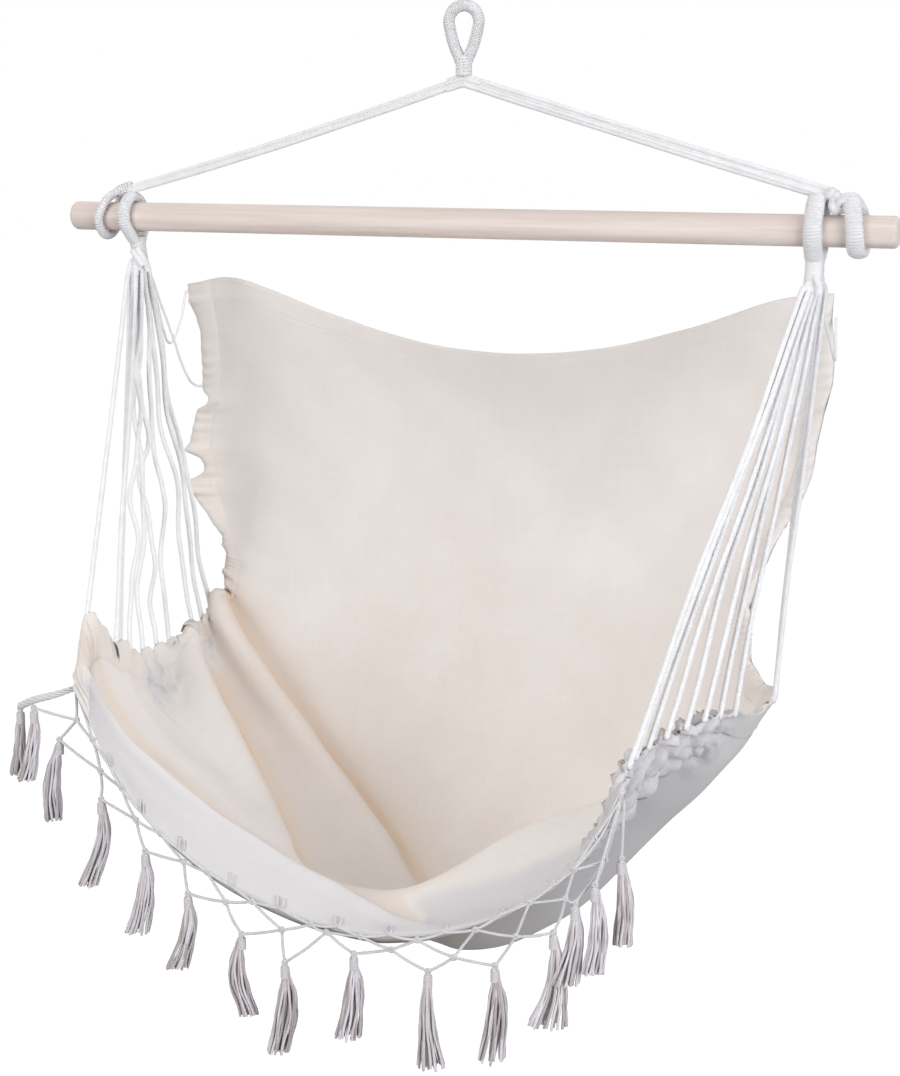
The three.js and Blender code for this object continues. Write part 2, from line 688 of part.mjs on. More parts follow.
// Stations of the fringe, from its free end past the left corner to the right corner: one before
// the first tassel, one at each tassel and one after the last. Each has a share of the front edge,
// below zero past the corner, a share of netDepth, and the share of its drop that it hangs forward.
const fringeShares = [
  [-0.20, 0.60, 0], [-0.140, 0.55, 0], [-0.087, 0.60, 0.3], [-0.003, 1.40, 0], [0.135, 0.80, 0],
  [0.245, 0.55, 0], [0.316, 0.70, 0], [0.39, 0.90, 0], [0.442, 1.15, 0], [0.526, 0.60, 0],
  [0.62, 0.80, 0], [0.71, 0.85, 0], [0.805, 0.75, 0], [0.848, 0.50, 0], [0.903, 0.60, 0.3],
  [0.990, 1.20, 0], [1.00, 0.40, 0],
];

// The way that the free end trails past the left corner.
const trailShares = { x: -0.95, y: -0.1, z: -0.2 };

// Half the width, as a share of a diamond, of the knot where two diamonds meet.
const crossingShare = 0.09;

// How far the fringe hangs square to a sloping edge instead of straight down, at the left corner.
const hugShare = 0.6;

// A place on the front edge of the sling and the way that the edge runs there.
function frontEdge(share) {
  const at = THREE.MathUtils.clamp(share, 0, 1);
  const before = slingPoint(Math.max(at - 2 * nearShare, 0), 1);
  const tangent = slingPoint(Math.min(at + 2 * nearShare, 1), 1).sub(before).normalize();
  const trail = new THREE.Vector3(trailShares.x, trailShares.y, trailShares.z);
  const point = slingPoint(at, 1).addScaledVector(trail, netOverhang * Math.max(-share, 0));
  return { point, tangent };
}

// Station value at a tassel's number, which may lie between two tassels.
function fringeValue(axis, at) {
  return through(fringeShares.map((place) => place[axis]), (at + 1) / (fringeShares.length - 1));
}

// A point of the fringe: at a tassel's number, at a drop below the edge and in front of its middle.
function fringePoint(at, drop, out) {
  const share = fringeValue(0, at);
  const { point, tangent } = frontEdge(share);
  const hug = hugShare * THREE.MathUtils.clamp(1 - share, 0, 1);
  const way = new THREE.Vector3(0, 0, -1).addScaledVector(tangent, hug * tangent.z).normalize();
  const slant = Math.sqrt(1 - way.dot(tangent) ** 2);
  const start = (canvasThickness / 2 + seatGap + netCordWidth / 2) / slant;
  const hang = drop * fringeValue(1, at);
  return point.addScaledVector(way, start + hang)
    .addScaledVector(back, -out - hang * fringeValue(2, at));
}

// Net: a chain of knotted diamonds under the front edge, one above each tassel. It is drawn flat,
// with one unit of X for each diamond, and then hung along the edge.
function fringeNet() {
  const half = netCordWidth / 2;
  const top = [];
  const bottom = [];
  for (let k = 0; k < tasselCount; k += 1) {
    top.push([k, half]);
    bottom.push([k, -netDepth - half]);
    if (k + 1 < tasselCount) {
      top.push([k + 1 / 2, half - netDepth / 2]);
      bottom.push([k + 1 / 2, -half - netDepth / 2]);
    }
  }
  const start = [-1 / 2, -netDepth / 2];
  const end = [tasselCount - 1 / 2, -netDepth / 2];
  const shape = outlined([start, ...bottom, end, ...top.reverse()]);
  const reach = 1 / 2 - crossingShare;
  for (let k = 0; k < tasselCount; k += 1) {
    shape.holes.push(outlined([[k, -2 * half], [k - reach, -netDepth / 2],
      [k, -netDepth + 2 * half], [k + reach, -netDepth / 2]]));
  }
  const geometry = new THREE.ExtrudeGeometry(shape, { steps: 1, depth: netCordWidth, bevelEnabled: false });
  const place = geometry.attributes.position;
  for (let k = 0; k < place.count; k += 1) {
    const point = fringePoint(place.getX(k), -place.getY(k), place.getZ(k) - half);
    place.setXYZ(k, point.x, point.y, point.z);
  }
  return part('fringe_net', geometry, fringe);
}

// Outline of a tassel from its top down: share of its length, then shares of the neck's radius,
// of the skirt's spread and of the depth of its flutes.
const knotEndShare = 0.1;
const neckEndShare = knotEndShare + tasselNeckLength / tasselLength;
const tasselShares = [
  [0, 0.3, 0, 0], [0.06, 0.8, 0, 0], [0.09, 0.7, 0, 0], [knotEndShare, 1, 0, 0.1],
  [neckEndShare, 1, 0.03, 0.3], [0.5, 1, 0.55, 0.8], [0.8, 1, 0.9, 1], [1, 1, 1, 1],
];

// Top of a tassel, just clear of the lowest knot of its diamond on the side away from the sling.
function tasselPlace(k) {
  const { tangent } = frontEdge(fringeValue(0, k));
  const away = new THREE.Vector3(0, 0, -1).addScaledVector(tangent, tangent.z).normalize();
  const topRadius = tasselShares[0][1] * tasselNeckRadius;
  const clear = tasselGap + topRadius * Math.abs(tangent.z);
  return fringePoint(k, netDepth + netCordWidth / 2, 0).addScaledVector(away, clear);
}

// Tassel: strands bound at the neck below a small knot, spreading to a fluted skirt.
function tassel(k) {
  const rings = [];
  const points = 2 * tasselLobes;
  for (const [share, neck, skirt, flute] of tasselShares) {
    const radius = tasselNeckRadius * neck + (tasselSkirtRadius - tasselNeckRadius) * skirt;
    const ring = [];
    for (let j = 0; j < points; j += 1) {
      const turn = -2 * Math.PI * j / points;
      const reach = radius - (j % 2 ? tasselLobeDepth * flute : 0);
      ring.push(new THREE.Vector3(reach * Math.cos(turn), reach * Math.sin(turn), -share * tasselLength));
    }
    rings.push(ring);
  }
  const mesh = part(`tassel_${String(k + 1).padStart(2, '0')}`, loft(rings), fringe);
  mesh.position.copy(tasselPlace(k));
  return mesh;
}

// Slack lacing cords between the bundle of cords and the side hem of the back, by chosen points.
const lacingRoutes = {
  lacing_cord_left_1: [
    [-414.6, 15.7, -60.6], [-413, 21, -76], [-411, 29, -94], [-411, 38, -112], [-413, 48, -130],
    [-415, 58, -145], [-417, 67, -156], [-418, 76, -161], [-418, 84, -159], [-417, 91, -151],
    [-416, 97, -141], [-415, 103, -130], [-415, 108, -118], [-415, 112, -107], [-414, 115, -98],
  ],
  lacing_cord_left_2: [
    [-410.5, 16, -60.7], [-408, 21, -75], [-406, 28, -92], [-405, 36, -109], [-404, 45, -126],
    [-403, 54, -143], [-402, 62, -159], [-402, 70, -174], [-402, 78, -187], [-402, 86, -198],
    [-402, 94, -207], [-402, 101, -213], [-401, 108, -217], [-400, 114, -219], [-398, 119, -220],
  ],
  lacing_cord_right: [
    [412, 15.9, -60.7], [414, 22, -72], [416, 30, -86], [418, 38, -100], [420, 47, -113],
    [421, 55, -125], [422, 63, -135], [422, 71, -142], [422, 79, -145], [421, 87, -144],
    [420, 94, -139], [418, 100, -131], [416, 106, -122], [415, 111, -112], [414, 115, -102],
  ],
};

function lacingCord(name) {
  const points = lacingRoutes[name].map(([x, y, z]) => new THREE.Vector3(x, y, z));
  const path = new THREE.CatmullRomCurve3(points, false, 'centripetal');
  return part(name, tube(path, lacingDiameter / 2, ropeSides, points.length - 1), cotton);
}

const chair = new THREE.Group();
const fromBar = new THREE.Group();
fromBar.position.set(-barAside, 0, -barDrop);
chair.add(hangingEye(), neckAndCrown(), fromBar);
fromBar.add(bridle('bridle_rope_left', -1), bridle('bridle_rope_right', 1));
fromBar.add(endLoop(-1, 'left'), endLoop(1, 'right'));
fromBar.add(spreaderBar());
fromBar.add(seatLoop(-1, 'left'), seatLoop(1, 'right'));
fromBar.add(suspensionCords());
for (const bundle of bundles) {
  fromBar.add(cordBundle(bundle));
}
for (const name of Object.keys(lacingRoutes)) {
  fromBar.add(lacingCord(name));
}
fromBar.add(slingCanvas(), fringeNet());
for (let k = 0; k < tasselCount; k += 1) {
  fromBar.add(tassel(k));
}

export default chair;
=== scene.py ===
"""Looks of a hammock chair: cotton sling, knotted fringe, served rope loops and a wooden bar."""

import math
import random

import bpy
import numpy as np
from bpy.props import FloatProperty, FloatVectorProperty, IntProperty, PointerProperty
from bpy.types import Operator, Panel, PropertyGroup
from mathutils import Matrix, Vector


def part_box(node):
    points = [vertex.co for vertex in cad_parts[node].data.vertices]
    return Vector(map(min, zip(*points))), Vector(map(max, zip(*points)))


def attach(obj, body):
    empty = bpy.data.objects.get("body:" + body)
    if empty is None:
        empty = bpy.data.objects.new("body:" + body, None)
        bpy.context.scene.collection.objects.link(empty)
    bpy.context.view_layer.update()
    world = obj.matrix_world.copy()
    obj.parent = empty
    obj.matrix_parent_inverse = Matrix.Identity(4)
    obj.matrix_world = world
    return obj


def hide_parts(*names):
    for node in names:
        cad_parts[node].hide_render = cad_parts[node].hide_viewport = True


bl_info = {
    "name": "Hammock Chair",
    "version": (1, 0, 0),
    "blender": (4, 5, 0),
    "location": "3D View > Sidebar > Hammock Chair",
    "description": "Builds the cotton, canvas and wood of a hanging hammock chair",
    "category": "Add Mesh",
}

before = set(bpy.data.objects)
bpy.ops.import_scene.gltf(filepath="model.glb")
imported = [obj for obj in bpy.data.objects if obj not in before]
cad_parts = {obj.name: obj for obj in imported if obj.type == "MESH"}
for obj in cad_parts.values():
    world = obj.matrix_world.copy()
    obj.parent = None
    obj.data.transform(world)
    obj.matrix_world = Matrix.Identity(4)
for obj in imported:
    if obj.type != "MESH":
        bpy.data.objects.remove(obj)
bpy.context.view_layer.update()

MILLIMETRE = 0.001
# The middle of the spreader bar in the frame of the part, and sizes of the solids, in metres.
BAR = Vector((-0.011, 0.0, -0.232))
BAR_LENGTH = 1.0
BAR_RADIUS = 0.017
CROWN_DROP = 0.0741
LOOP_RADIUS = 0.02615
# The flat size of the canvas between its side hems, and from the top hem to the front.
CLOTH_WIDTH = 0.82
CLOTH_LENGTH = 1.09
# Distances in the canvas: from thread to thread, to the seam of the top hem, from stitch to stitch.
WEAVE_PITCH = 0.0021
SEAM_PLACE = 0.026
STITCH_PITCH = 0.004
# Half the thickness of a ply, as a share of its cord's thickness.
PLY_SHARE = 0.33
# Steps in one turn of wound twine.
COIL_STEPS = 14
TASSELS = 15
# The height of the studio's floor.
FLOOR_HEIGHT = -1.62


# ---------------------------------------------------------------- settings of the add-on


def size(name, description, default):
    return FloatProperty(name=name, description=description, default=default, unit="LENGTH")


def tint(name, description, default):
    return FloatVectorProperty(name=name, description=description, default=default, subtype="COLOR")


def strength(name, description, default):
    return FloatProperty(name=name, description=description, default=default, unit="POWER")


class RopeSizes(PropertyGroup):
    """Sizes of the cords, the served loops and the twine wound on them."""

    cord_diameter: size("Cord", "Thickness of a suspension cord", 0.0065)
    cord_lay: size("Cord Lay", "Length of one twist of a cord", 0.012)
    lacing_diameter: size("Lacing", "Thickness of a lacing cord", 0.0036)
    loop_twine: size("Loop Twine", "Thickness of the twine round a loop", 0.0042)
    eye_twine: size("Eye Twine", "Thickness of the twine round the eye", 0.0023)
    net_twine: size("Net Twine", "Thickness of the twine of the net", 0.0037)


class SlingSizes(PropertyGroup):
    """Sizes of the canvas sling and its hems."""

    half_width: size("Half Width", "Half the width of the back", 0.41)
    reach: size("Reach", "How far the front edge lies before the bar", 0.34)
    drop: size("Drop", "Drop of the sling below the bar", 0.81)
    length: size("Length", "Length of the canvas from the top hem to the front", CLOTH_LENGTH)
    thickness: size("Canvas", "Thickness of one layer of canvas", 0.0011)
    hem_width: size("Side Hem", "Width of the folded side hems", 0.05)


class TasselSizes(PropertyGroup):
    """Sizes of a tassel."""

    strands: IntProperty(name="Strands", description="Strands in one tassel", default=28)
    strand_radius: size("Strand Radius", "Half the thickness of a strand", 0.0014)


class FinishColours(PropertyGroup):
    """Colours of the finishes."""

    canvas: tint("Canvas", "Colour of the canvas", (0.82, 0.775, 0.745))
    cotton: tint("Cotton", "Colour of the cords", (0.87, 0.865, 0.88))
    wood: tint("Wood", "Colour of the bar", (0.79, 0.70, 0.655))
    fringe: tint("Fringe", "Colour of the tassels", (0.585, 0.555, 0.58))


class StudioLights(PropertyGroup):
    """Strengths of the lamps."""

    key: strength("Key", "Lamp before the left side", 45.0)
    top: strength("Top", "Lamp above the chair", 9.0)
    fill: strength("Fill", "Lamp before the right side", 55.0)


# ---------------------------------------------------------------- finishes


class Value:
    """A socket of a node that takes part in Python expressions."""

    def __init__(self, nodes, socket):
        self.nodes = nodes
        self.socket = socket

    def __add__(self, other):
        return self.nodes.maths("ADD", self, other)

    def __radd__(self, other):
        return self.nodes.maths("ADD", other, self)

    def __sub__(self, other):
        return self.nodes.maths("SUBTRACT", self, other)

    def __rsub__(self, other):
        return self.nodes.maths("SUBTRACT", other, self)

    def __mul__(self, other):
        return self.nodes.maths("MULTIPLY", self, other)

    def __rmul__(self, other):
        return self.nodes.maths("MULTIPLY", other, self)


class Nodes:
    """The nodes of a material or of the world."""

    def __init__(self, owner):
        owner.use_nodes = True
        self.tree = owner.node_tree

    def feed(self, socket, value):
        if isinstance(value, Value):
            self.tree.links.new(value.socket, socket)
        else:
            socket.default_value = value

    def node(self, kind, settings=None, values=None, output=0):
        """Makes a node from its settings and its sockets' values or links, and gives an output."""
        made = self.tree.nodes.new(kind)
        for name, setting in (settings or {}).items():
            setattr(made, name, setting)
        for name, value in (values or {}).items():
            self.feed(made.inputs[name], value)
        return Value(self, made.outputs[output]) if made.outputs else None

    def maths(self, operation, *values):
        return self.node("ShaderNodeMath", {"operation": operation}, dict(enumerate(values)))

    def split(self, vector):
        first = self.node("ShaderNodeSeparateXYZ", values={0: vector})
        return [Value(self, socket) for socket in first.socket.node.outputs]

    def mixed(self, share, first, second):
        return self.node(
            "ShaderNodeMix", {"data_type": "RGBA"}, {"Factor": share, 6: first, 7: second}, output=2
        )

    def ramp(self, value, low, high):
        """0 below low and 1 above high, smooth in between."""
        return self.node(
            "ShaderNodeMapRange", {"interpolation_type": "SMOOTHSTEP"},
            {"Value": value, "From Min": low, "From Max": high},
        )


class Finish(Nodes):
    """A procedural material that is put together node by node."""

    def __init__(self, name, roughness, sheen=0.0):
        self.material = bpy.data.materials.new(name)
        super().__init__(self.material)
        self.shader = self.tree.nodes["Principled BSDF"].inputs
        self.shader["Roughness"].default_value = roughness
        self.shader["Specular IOR Level"].default_value = 0.25
        self.shader["Sheen Weight"].default_value = sheen
        self.shader["Sheen Roughness"].default_value = 0.6

    def place(self):
        return self.node("ShaderNodeTexCoord", output="Object")

    def surface(self):
        return self.node("ShaderNodeTexCoord", output="UV")

    def attribute(self, name):
        return self.node("ShaderNodeAttribute", {"attribute_name": name}, output=2)

    def noise(self, vector, scale, detail=2.0, roughness=0.5):
        return self.node(
            "ShaderNodeTexNoise",
            values={"Vector": vector, "Scale": scale, "Detail": detail, "Roughness": roughness},
        )

    def drawn_noise(self, vector, scales, detail=2.0, roughness=0.5):
        """Noise with a scale for each axis, drawn out along those with a low one."""
        mapped = self.node("ShaderNodeMapping", values={"Vector": vector, "Scale": scales})
        return self.noise(mapped, 1.0, detail, roughness)

    def finished(self, colour, height, distance, strength, roughness=None):
        self.feed(self.shader["Base Color"], colour)
        if roughness is not None:
            self.feed(self.shader["Roughness"], roughness)
        bump = self.node(
            "ShaderNodeBump", values={"Height": height, "Distance": distance, "Strength": strength}
        )
        self.feed(self.shader["Normal"], bump)
        return self.material


def shade(colour, factor, warmth=0.0):
    """A colour made lighter or darker, and warmer by a share."""
    red, green, blue = colour
    return (red * factor * (1 + warmth), green * factor, blue * factor * (1 - warmth), 1.0)


def canvas_finish(colour):
    """Plain weave of unbleached cotton: warp and weft, slubs, soft mottling, and painted shade.

    Its shade attribute holds the painted shade: up to 1 for warm painted shade at the foot of a fold,
    up to 2 where that is deep, down to -1 for a cooler, darker painted tint on cloth turned away from
    the sitter, and down to -2 for grey painted shade in creases and under the front edge."""
    finish = Finish("canvas_weave", roughness=0.92, sheen=0.15)
    uv = finish.surface()
    across, along, _ = finish.split(uv)
    threads = 2 * math.pi / WEAVE_PITCH
    weave = finish.maths("SINE", across * threads) * finish.maths("SINE", along * threads)
    slubs_along = finish.drawn_noise(uv, (460.0, 14.0, 1.0))
    slubs = slubs_along + finish.drawn_noise(uv, (14.0, 460.0, 1.0))
    mottle = finish.noise(finish.place(), 9.0, 4.0, 0.6)
    fuzz = finish.noise(finish.place(), 900.0)
    tone = finish.ramp(mottle * 0.6 + slubs * 0.22 + weave * 0.05, 0.32, 0.80)
    base = finish.mixed(tone, shade(colour, 0.94, 0.016), shade(colour, 1.035, -0.006))
    foot = finish.attribute("painted_shade")
    away = foot * -1
    red, green, blue = colour
    # A cooler, darker painted tint on cloth turned away from the sitter, then grey painted shade in
    # creases and under the front edge.
    painted_cool_tint = (red * 0.82, green * 0.835, blue * 0.88, 1.0)
    base = finish.mixed(finish.ramp(away, 0.0, 1.0), base, painted_cool_tint)
    base = finish.mixed(finish.ramp(away, 1.0, 2.0), base, shade(colour, 0.50, 0.09))
    # Warm painted shade at the feet of folds, and darker painted shade where it is deep.
    base = finish.mixed(foot, base, shade(colour, 0.74, 0.24))
    base = finish.mixed(finish.ramp(foot, 1.0, 2.0), base, shade(colour, 0.30, 0.16))
    seam = 1 - finish.ramp(finish.maths("ABSOLUTE", along - SEAM_PLACE), 0.0005, 0.0016)
    stitch = finish.ramp(finish.maths("SINE", across * (2 * math.pi / STITCH_PITCH)), -0.2, 0.5)
    base = finish.mixed(seam * stitch * 0.10, base, shade(colour, 0.7, 0.04))
    height = weave * 0.35 + slubs * 0.5 + fuzz * 0.3 - seam * 0.7
    return finish.finished(base, height, 0.0005, 0.55)


def cotton_finish(name, colour, lay, relief=0.4, hair=0.8):
    """Soft cotton yarn: fine fibres, and plies that run round the piece at a slant."""
    finish = Finish(name, roughness=0.88, sheen=0.2)
    along, around, _ = finish.split(finish.surface())
    turn = 2 * math.pi
    ply = finish.maths("SINE", along * (turn / lay) + around * (turn / (lay * 0.8)))
    fibres = finish.noise(finish.place(), 1400.0, 3.0, 0.7)
    patches = finish.noise(finish.place(), 60.0, 3.0, 0.6)
    tone = finish.ramp(patches + fibres * 0.2, 0.35, 0.8)
    base = finish.mixed(tone, shade(colour, 0.94, 0.008), shade(colour, 1.03))
    return finish.finished(base, ply * relief + fibres * hair, 0.0004, 0.5)


def strand_finish(colour):
    """Loose cotton strands of the tassels, each of its own tone, darker in places."""
    finish = Finish("tassel_cotton", roughness=0.95, sheen=0.25)
    fibres = finish.drawn_noise(finish.place(), (1500.0, 1500.0, 120.0))
    share = finish.ramp(finish.attribute("strand_tone") * 0.8 + fibres * 0.4, 0.15, 1.0)
    base = finish.mixed(share, shade(colour, 0.72, 0.07), shade(colour, 1.3, -0.01))
    return finish.finished(base, fibres, 0.0006, 0.6)


def wood_finish(colour):
    """Pale sanded birch with fine straight grain along the bar."""
    finish = Finish("birch_wood", roughness=0.5)
    place = finish.place()
    grain = finish.drawn_noise(place, (6.0, 190.0, 190.0), 4.0, 0.6)
    streaks = finish.drawn_noise(place, (1.6, 45.0, 45.0), 3.0)
    pores = finish.drawn_noise(place, (60.0, 1600.0, 1600.0))
    tone = finish.ramp(streaks * 0.6 + grain * 0.4, 0.36, 0.64)
    base = finish.mixed(tone, shade(colour, 0.84, 0.03), shade(colour, 1.06))
    base = finish.mixed(finish.ramp(pores, 0.62, 0.72) * 0.35, base, shade(colour, 0.72, 0.05))
    return finish.finished(base, grain * 0.5 + pores * 0.3, 0.00025, 0.5, 0.46 + grain * 0.14)


def finish_named(name):
    """The finish of that name, which is made when it is first asked for."""
    made = bpy.data.materials.get(name)
    if made is not None:
        return made
    settings = bpy.context.scene
    colours = settings.chair_colours
    cotton = tuple(colours.cotton)
    makers = {
        "canvas_weave": lambda: canvas_finish(tuple(colours.canvas)),
        "cotton_cord": lambda: cotton_finish(name, cotton, settings.chair_ropes.cord_lay / 3),
        "cotton_twine": lambda: cotton_finish(name, cotton, 0.003),
        "bridle_cord": lambda: cotton_finish(name, shade(cotton, 0.95)[:3], 0.03, 0.0, 0.15),
        "net_twine": lambda: cotton_finish(name, shade(cotton, 0.8)[:3], 0.002),
        "tassel_cotton": lambda: strand_finish(tuple(colours.fringe)),
        "birch_wood": lambda: wood_finish(tuple(colours.wood)),
    }
    return makers[name]()


# ---------------------------------------------------------------- lines and cords


def smooth_line(points, step):
    """Evenly spaced points, about a step apart, on a smooth line through the given ones."""
    given = [Vector(p) for p in points]
    if len(given) == 2:
        dense = [given[0].lerp(given[1], k / 8) for k in range(9)]
    else:
        given = [2 * given[0] - given[1], *given, 2 * given[-1] - given[-2]]
        dense = []
        for a, b, c, d in zip(given, given[1:], given[2:], given[3:]):
            for k in range(12):
                t = k / 12
                dense.append(
                    0.5 * ((2 * b) + (c - a) * t + (2 * a - 5 * b + 4 * c - d) * t * t
                           + (3 * b - a - 3 * c + d) * t * t * t)
                )
        dense.append(given[-2])
    reach = [0.0]
    for a, b in zip(dense, dense[1:]):
        reach.append(reach[-1] + (b - a).length)
    count = max(2, round(reach[-1] / step))
    even = []
    k = 0
    for j in range(count + 1):
        want = reach[-1] * j / count
        while k < len(dense) - 2 and reach[k + 1] < want:
            k += 1
        span = max(reach[k + 1] - reach[k], 1e-12)
        even.append(dense[k].lerp(dense[k + 1], min(1.0, (want - reach[k]) / span)))
    return even


def length_of(points):
    return sum((b - a).length for a, b in zip(points, points[1:]))


def frames_along(points):
    """A tangent and two turning-free normals at each point of a line."""
    tangents = []
    for k in range(len(points)):
        way = points[min(k + 1, len(points) - 1)] - points[max(k - 1, 0)]
        tangents.append(way.normalized())
    first = tangents[0].orthogonal().normalized()
    frames = []
    for tangent in tangents:
        first = (first - tangent * first.dot(tangent)).normalized()
        frames.append((tangent, first, tangent.cross(first)))
    return frames


def twisted(points, plies, offset, lay, start=0.0):
    """Lines of the plies that twist round a line, one twist in each lay."""
    reach = 0.0
    lines = [[] for _ in range(plies)]
    last = points[0]
    for point, (_, side, over) in zip(points, frames_along(points)):
        reach += (point - last).length
        last = point
        for k in range(plies):
            turn = start + 2 * math.pi * (reach / lay + k / plies)
            lines[k].append(point + side * (offset * math.cos(turn)) + over * (offset * math.sin(turn)))
    return lines


def deselect():
    bpy.ops.object.select_all(action="DESELECT")


def select(pieces):
    """Selects just these pieces and makes the first of them the active one."""
    deselect()
    for piece in pieces:
        piece.select_set(True)
    bpy.context.view_layer.objects.active = pieces[0]


def put_in_scene(name, data):
    piece = bpy.data.objects.new(name, data)
    bpy.context.scene.collection.objects.link(piece)
    return piece


def primitive(add, **sizes):
    """A primitive that one of Blender's operators adds, with its place and turn in its mesh."""
    deselect()
    add(**sizes)
    bpy.ops.object.transform_apply(location=True, rotation=True, scale=True)
    return bpy.context.active_object


def modify(piece, kind, **settings):
    """Gives the active piece a modifier and applies it."""
    change = piece.modifiers.new(kind.lower(), kind)
    for name, value in settings.items():
        setattr(change, name, value)
    bpy.ops.object.modifier_apply(modifier=change.name)


def curve_through(name, lines, radii):
    """A curve along the lines, with one radius for each line or for each of its points."""
    curve = bpy.data.curves.new(name, "CURVE")
    curve.dimensions = "3D"
    for line, radius in zip(lines, radii):
        spline = curve.splines.new("POLY")
        spline.points.add(len(line) - 1)
        for point, place, half in zip(spline.points, line, np.broadcast_to(radius, len(line))):
            point.co = (*place, 1.0)
            point.radius = half
    return put_in_scene(name, curve)


def cords_from(name, lines, radii, sides=2):
    """One mesh of round cords along the lines. Its UV map is in metres, along and then around."""
    piece = curve_through(name, lines, radii)
    piece.data.bevel_depth = 1.0
    piece.data.bevel_resolution = sides
    piece.data.use_fill_caps = True
    select([piece])
    bpy.ops.object.convert(target="MESH")
    piece = bpy.context.view_layer.objects.active
    uv = piece.data.uv_layers[0].data
    values = np.zeros(len(uv) * 2)
    uv.foreach_get("uv", values)
    values[0::2] *= length_of(lines[0])
    values[1::2] *= 2 * math.pi * np.max(radii[0])
    uv.foreach_set("uv", values)
    bpy.ops.object.shade_smooth()
    return piece


def soft_laid(line, diameter, lay, start=0.0):
    """The plies of a soft cord, three that sink into each other, as lines and radii."""
    ply_radius = diameter * PLY_SHARE
    lines = twisted(line, 3, diameter / 2 - ply_radius, lay, start)
    return lines, [ply_radius] * 3


def wound(name, points, core_radius, twine):
    """Twine wound close round a rope: a coil made straight, then bent along the rope's line."""
    line = smooth_line(points, 0.002)
    reach = length_of(line)
    turns = max(2, round(reach / twine))
    coil = primitive(
        bpy.ops.mesh.primitive_circle_add, vertices=8, radius=twine / 2,
        location=(core_radius + twine / 2, 0, 0), rotation=(math.pi / 2, 0, 0),
    )
    coil.name = name
    modify(
        coil, "SCREW", axis="Z", screw_offset=reach / turns, iterations=turns, steps=COIL_STEPS,
        render_steps=COIL_STEPS, use_merge_vertices=False,
    )
    guide = curve_through(name + "_guide", [line], [1.0])
    modify(coil, "CURVE", object=guide, deform_axis="POS_Z")
    bpy.data.objects.remove(guide)
    bpy.ops.object.mode_set(mode="EDIT")
    bpy.ops.mesh.select_all(action="SELECT")
    bpy.ops.mesh.fill_holes(sides=0)
    bpy.ops.mesh.normals_make_consistent(inside=False)
    bpy.ops.object.mode_set(mode="OBJECT")
    bpy.ops.object.shade_smooth()
    return coil


def served(name, points, radius, twine, relief=0.2, wide=(1.0, 1.0), core_points=None):
    """A rope with twine wound close round it, with shallow grooves between the turns.

    It may be wider along the bar, and deeper, than it is thick."""
    points = [Vector(p) for p in points]
    middle = sum(points, Vector()) / len(points)
    widen = Matrix.Diagonal((*wide, 1.0, 1.0))
    spread = Matrix.Translation(middle) @ widen @ Matrix.Translation(-middle)
    drawn = spread.inverted()
    turns = wound(name, [drawn @ p for p in points], radius - twine, twine)
    line = smooth_line([drawn @ Vector(p) for p in core_points or points], 0.002)
    core = cords_from(name + "_core", [line], [radius - relief * twine], sides=4)
    whole = joined(name, [turns, core])
    whole.data.transform(spread)
    return whole


def joined(name, pieces):
    """The pieces as one, under a name of its own."""
    select(pieces)
    bpy.ops.object.join()
    whole = bpy.context.view_layer.objects.active
    whole.name = name
    whole.data.name = name
    return whole


def settle(piece, finish, slot, body, *replaced):
    """Gives a piece its finish, its body and the solids that it stands for."""
    piece.data.materials.clear()
    piece.data.materials.append(finish_named(finish))
    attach(piece, body)
    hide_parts(*replaced)


def at_bar(x, y, z):
    """A place given in millimetres from the middle of the bar."""
    return BAR + Vector((x, y, z)) * MILLIMETRE


# ---------------------------------------------------------------- the sling's surface

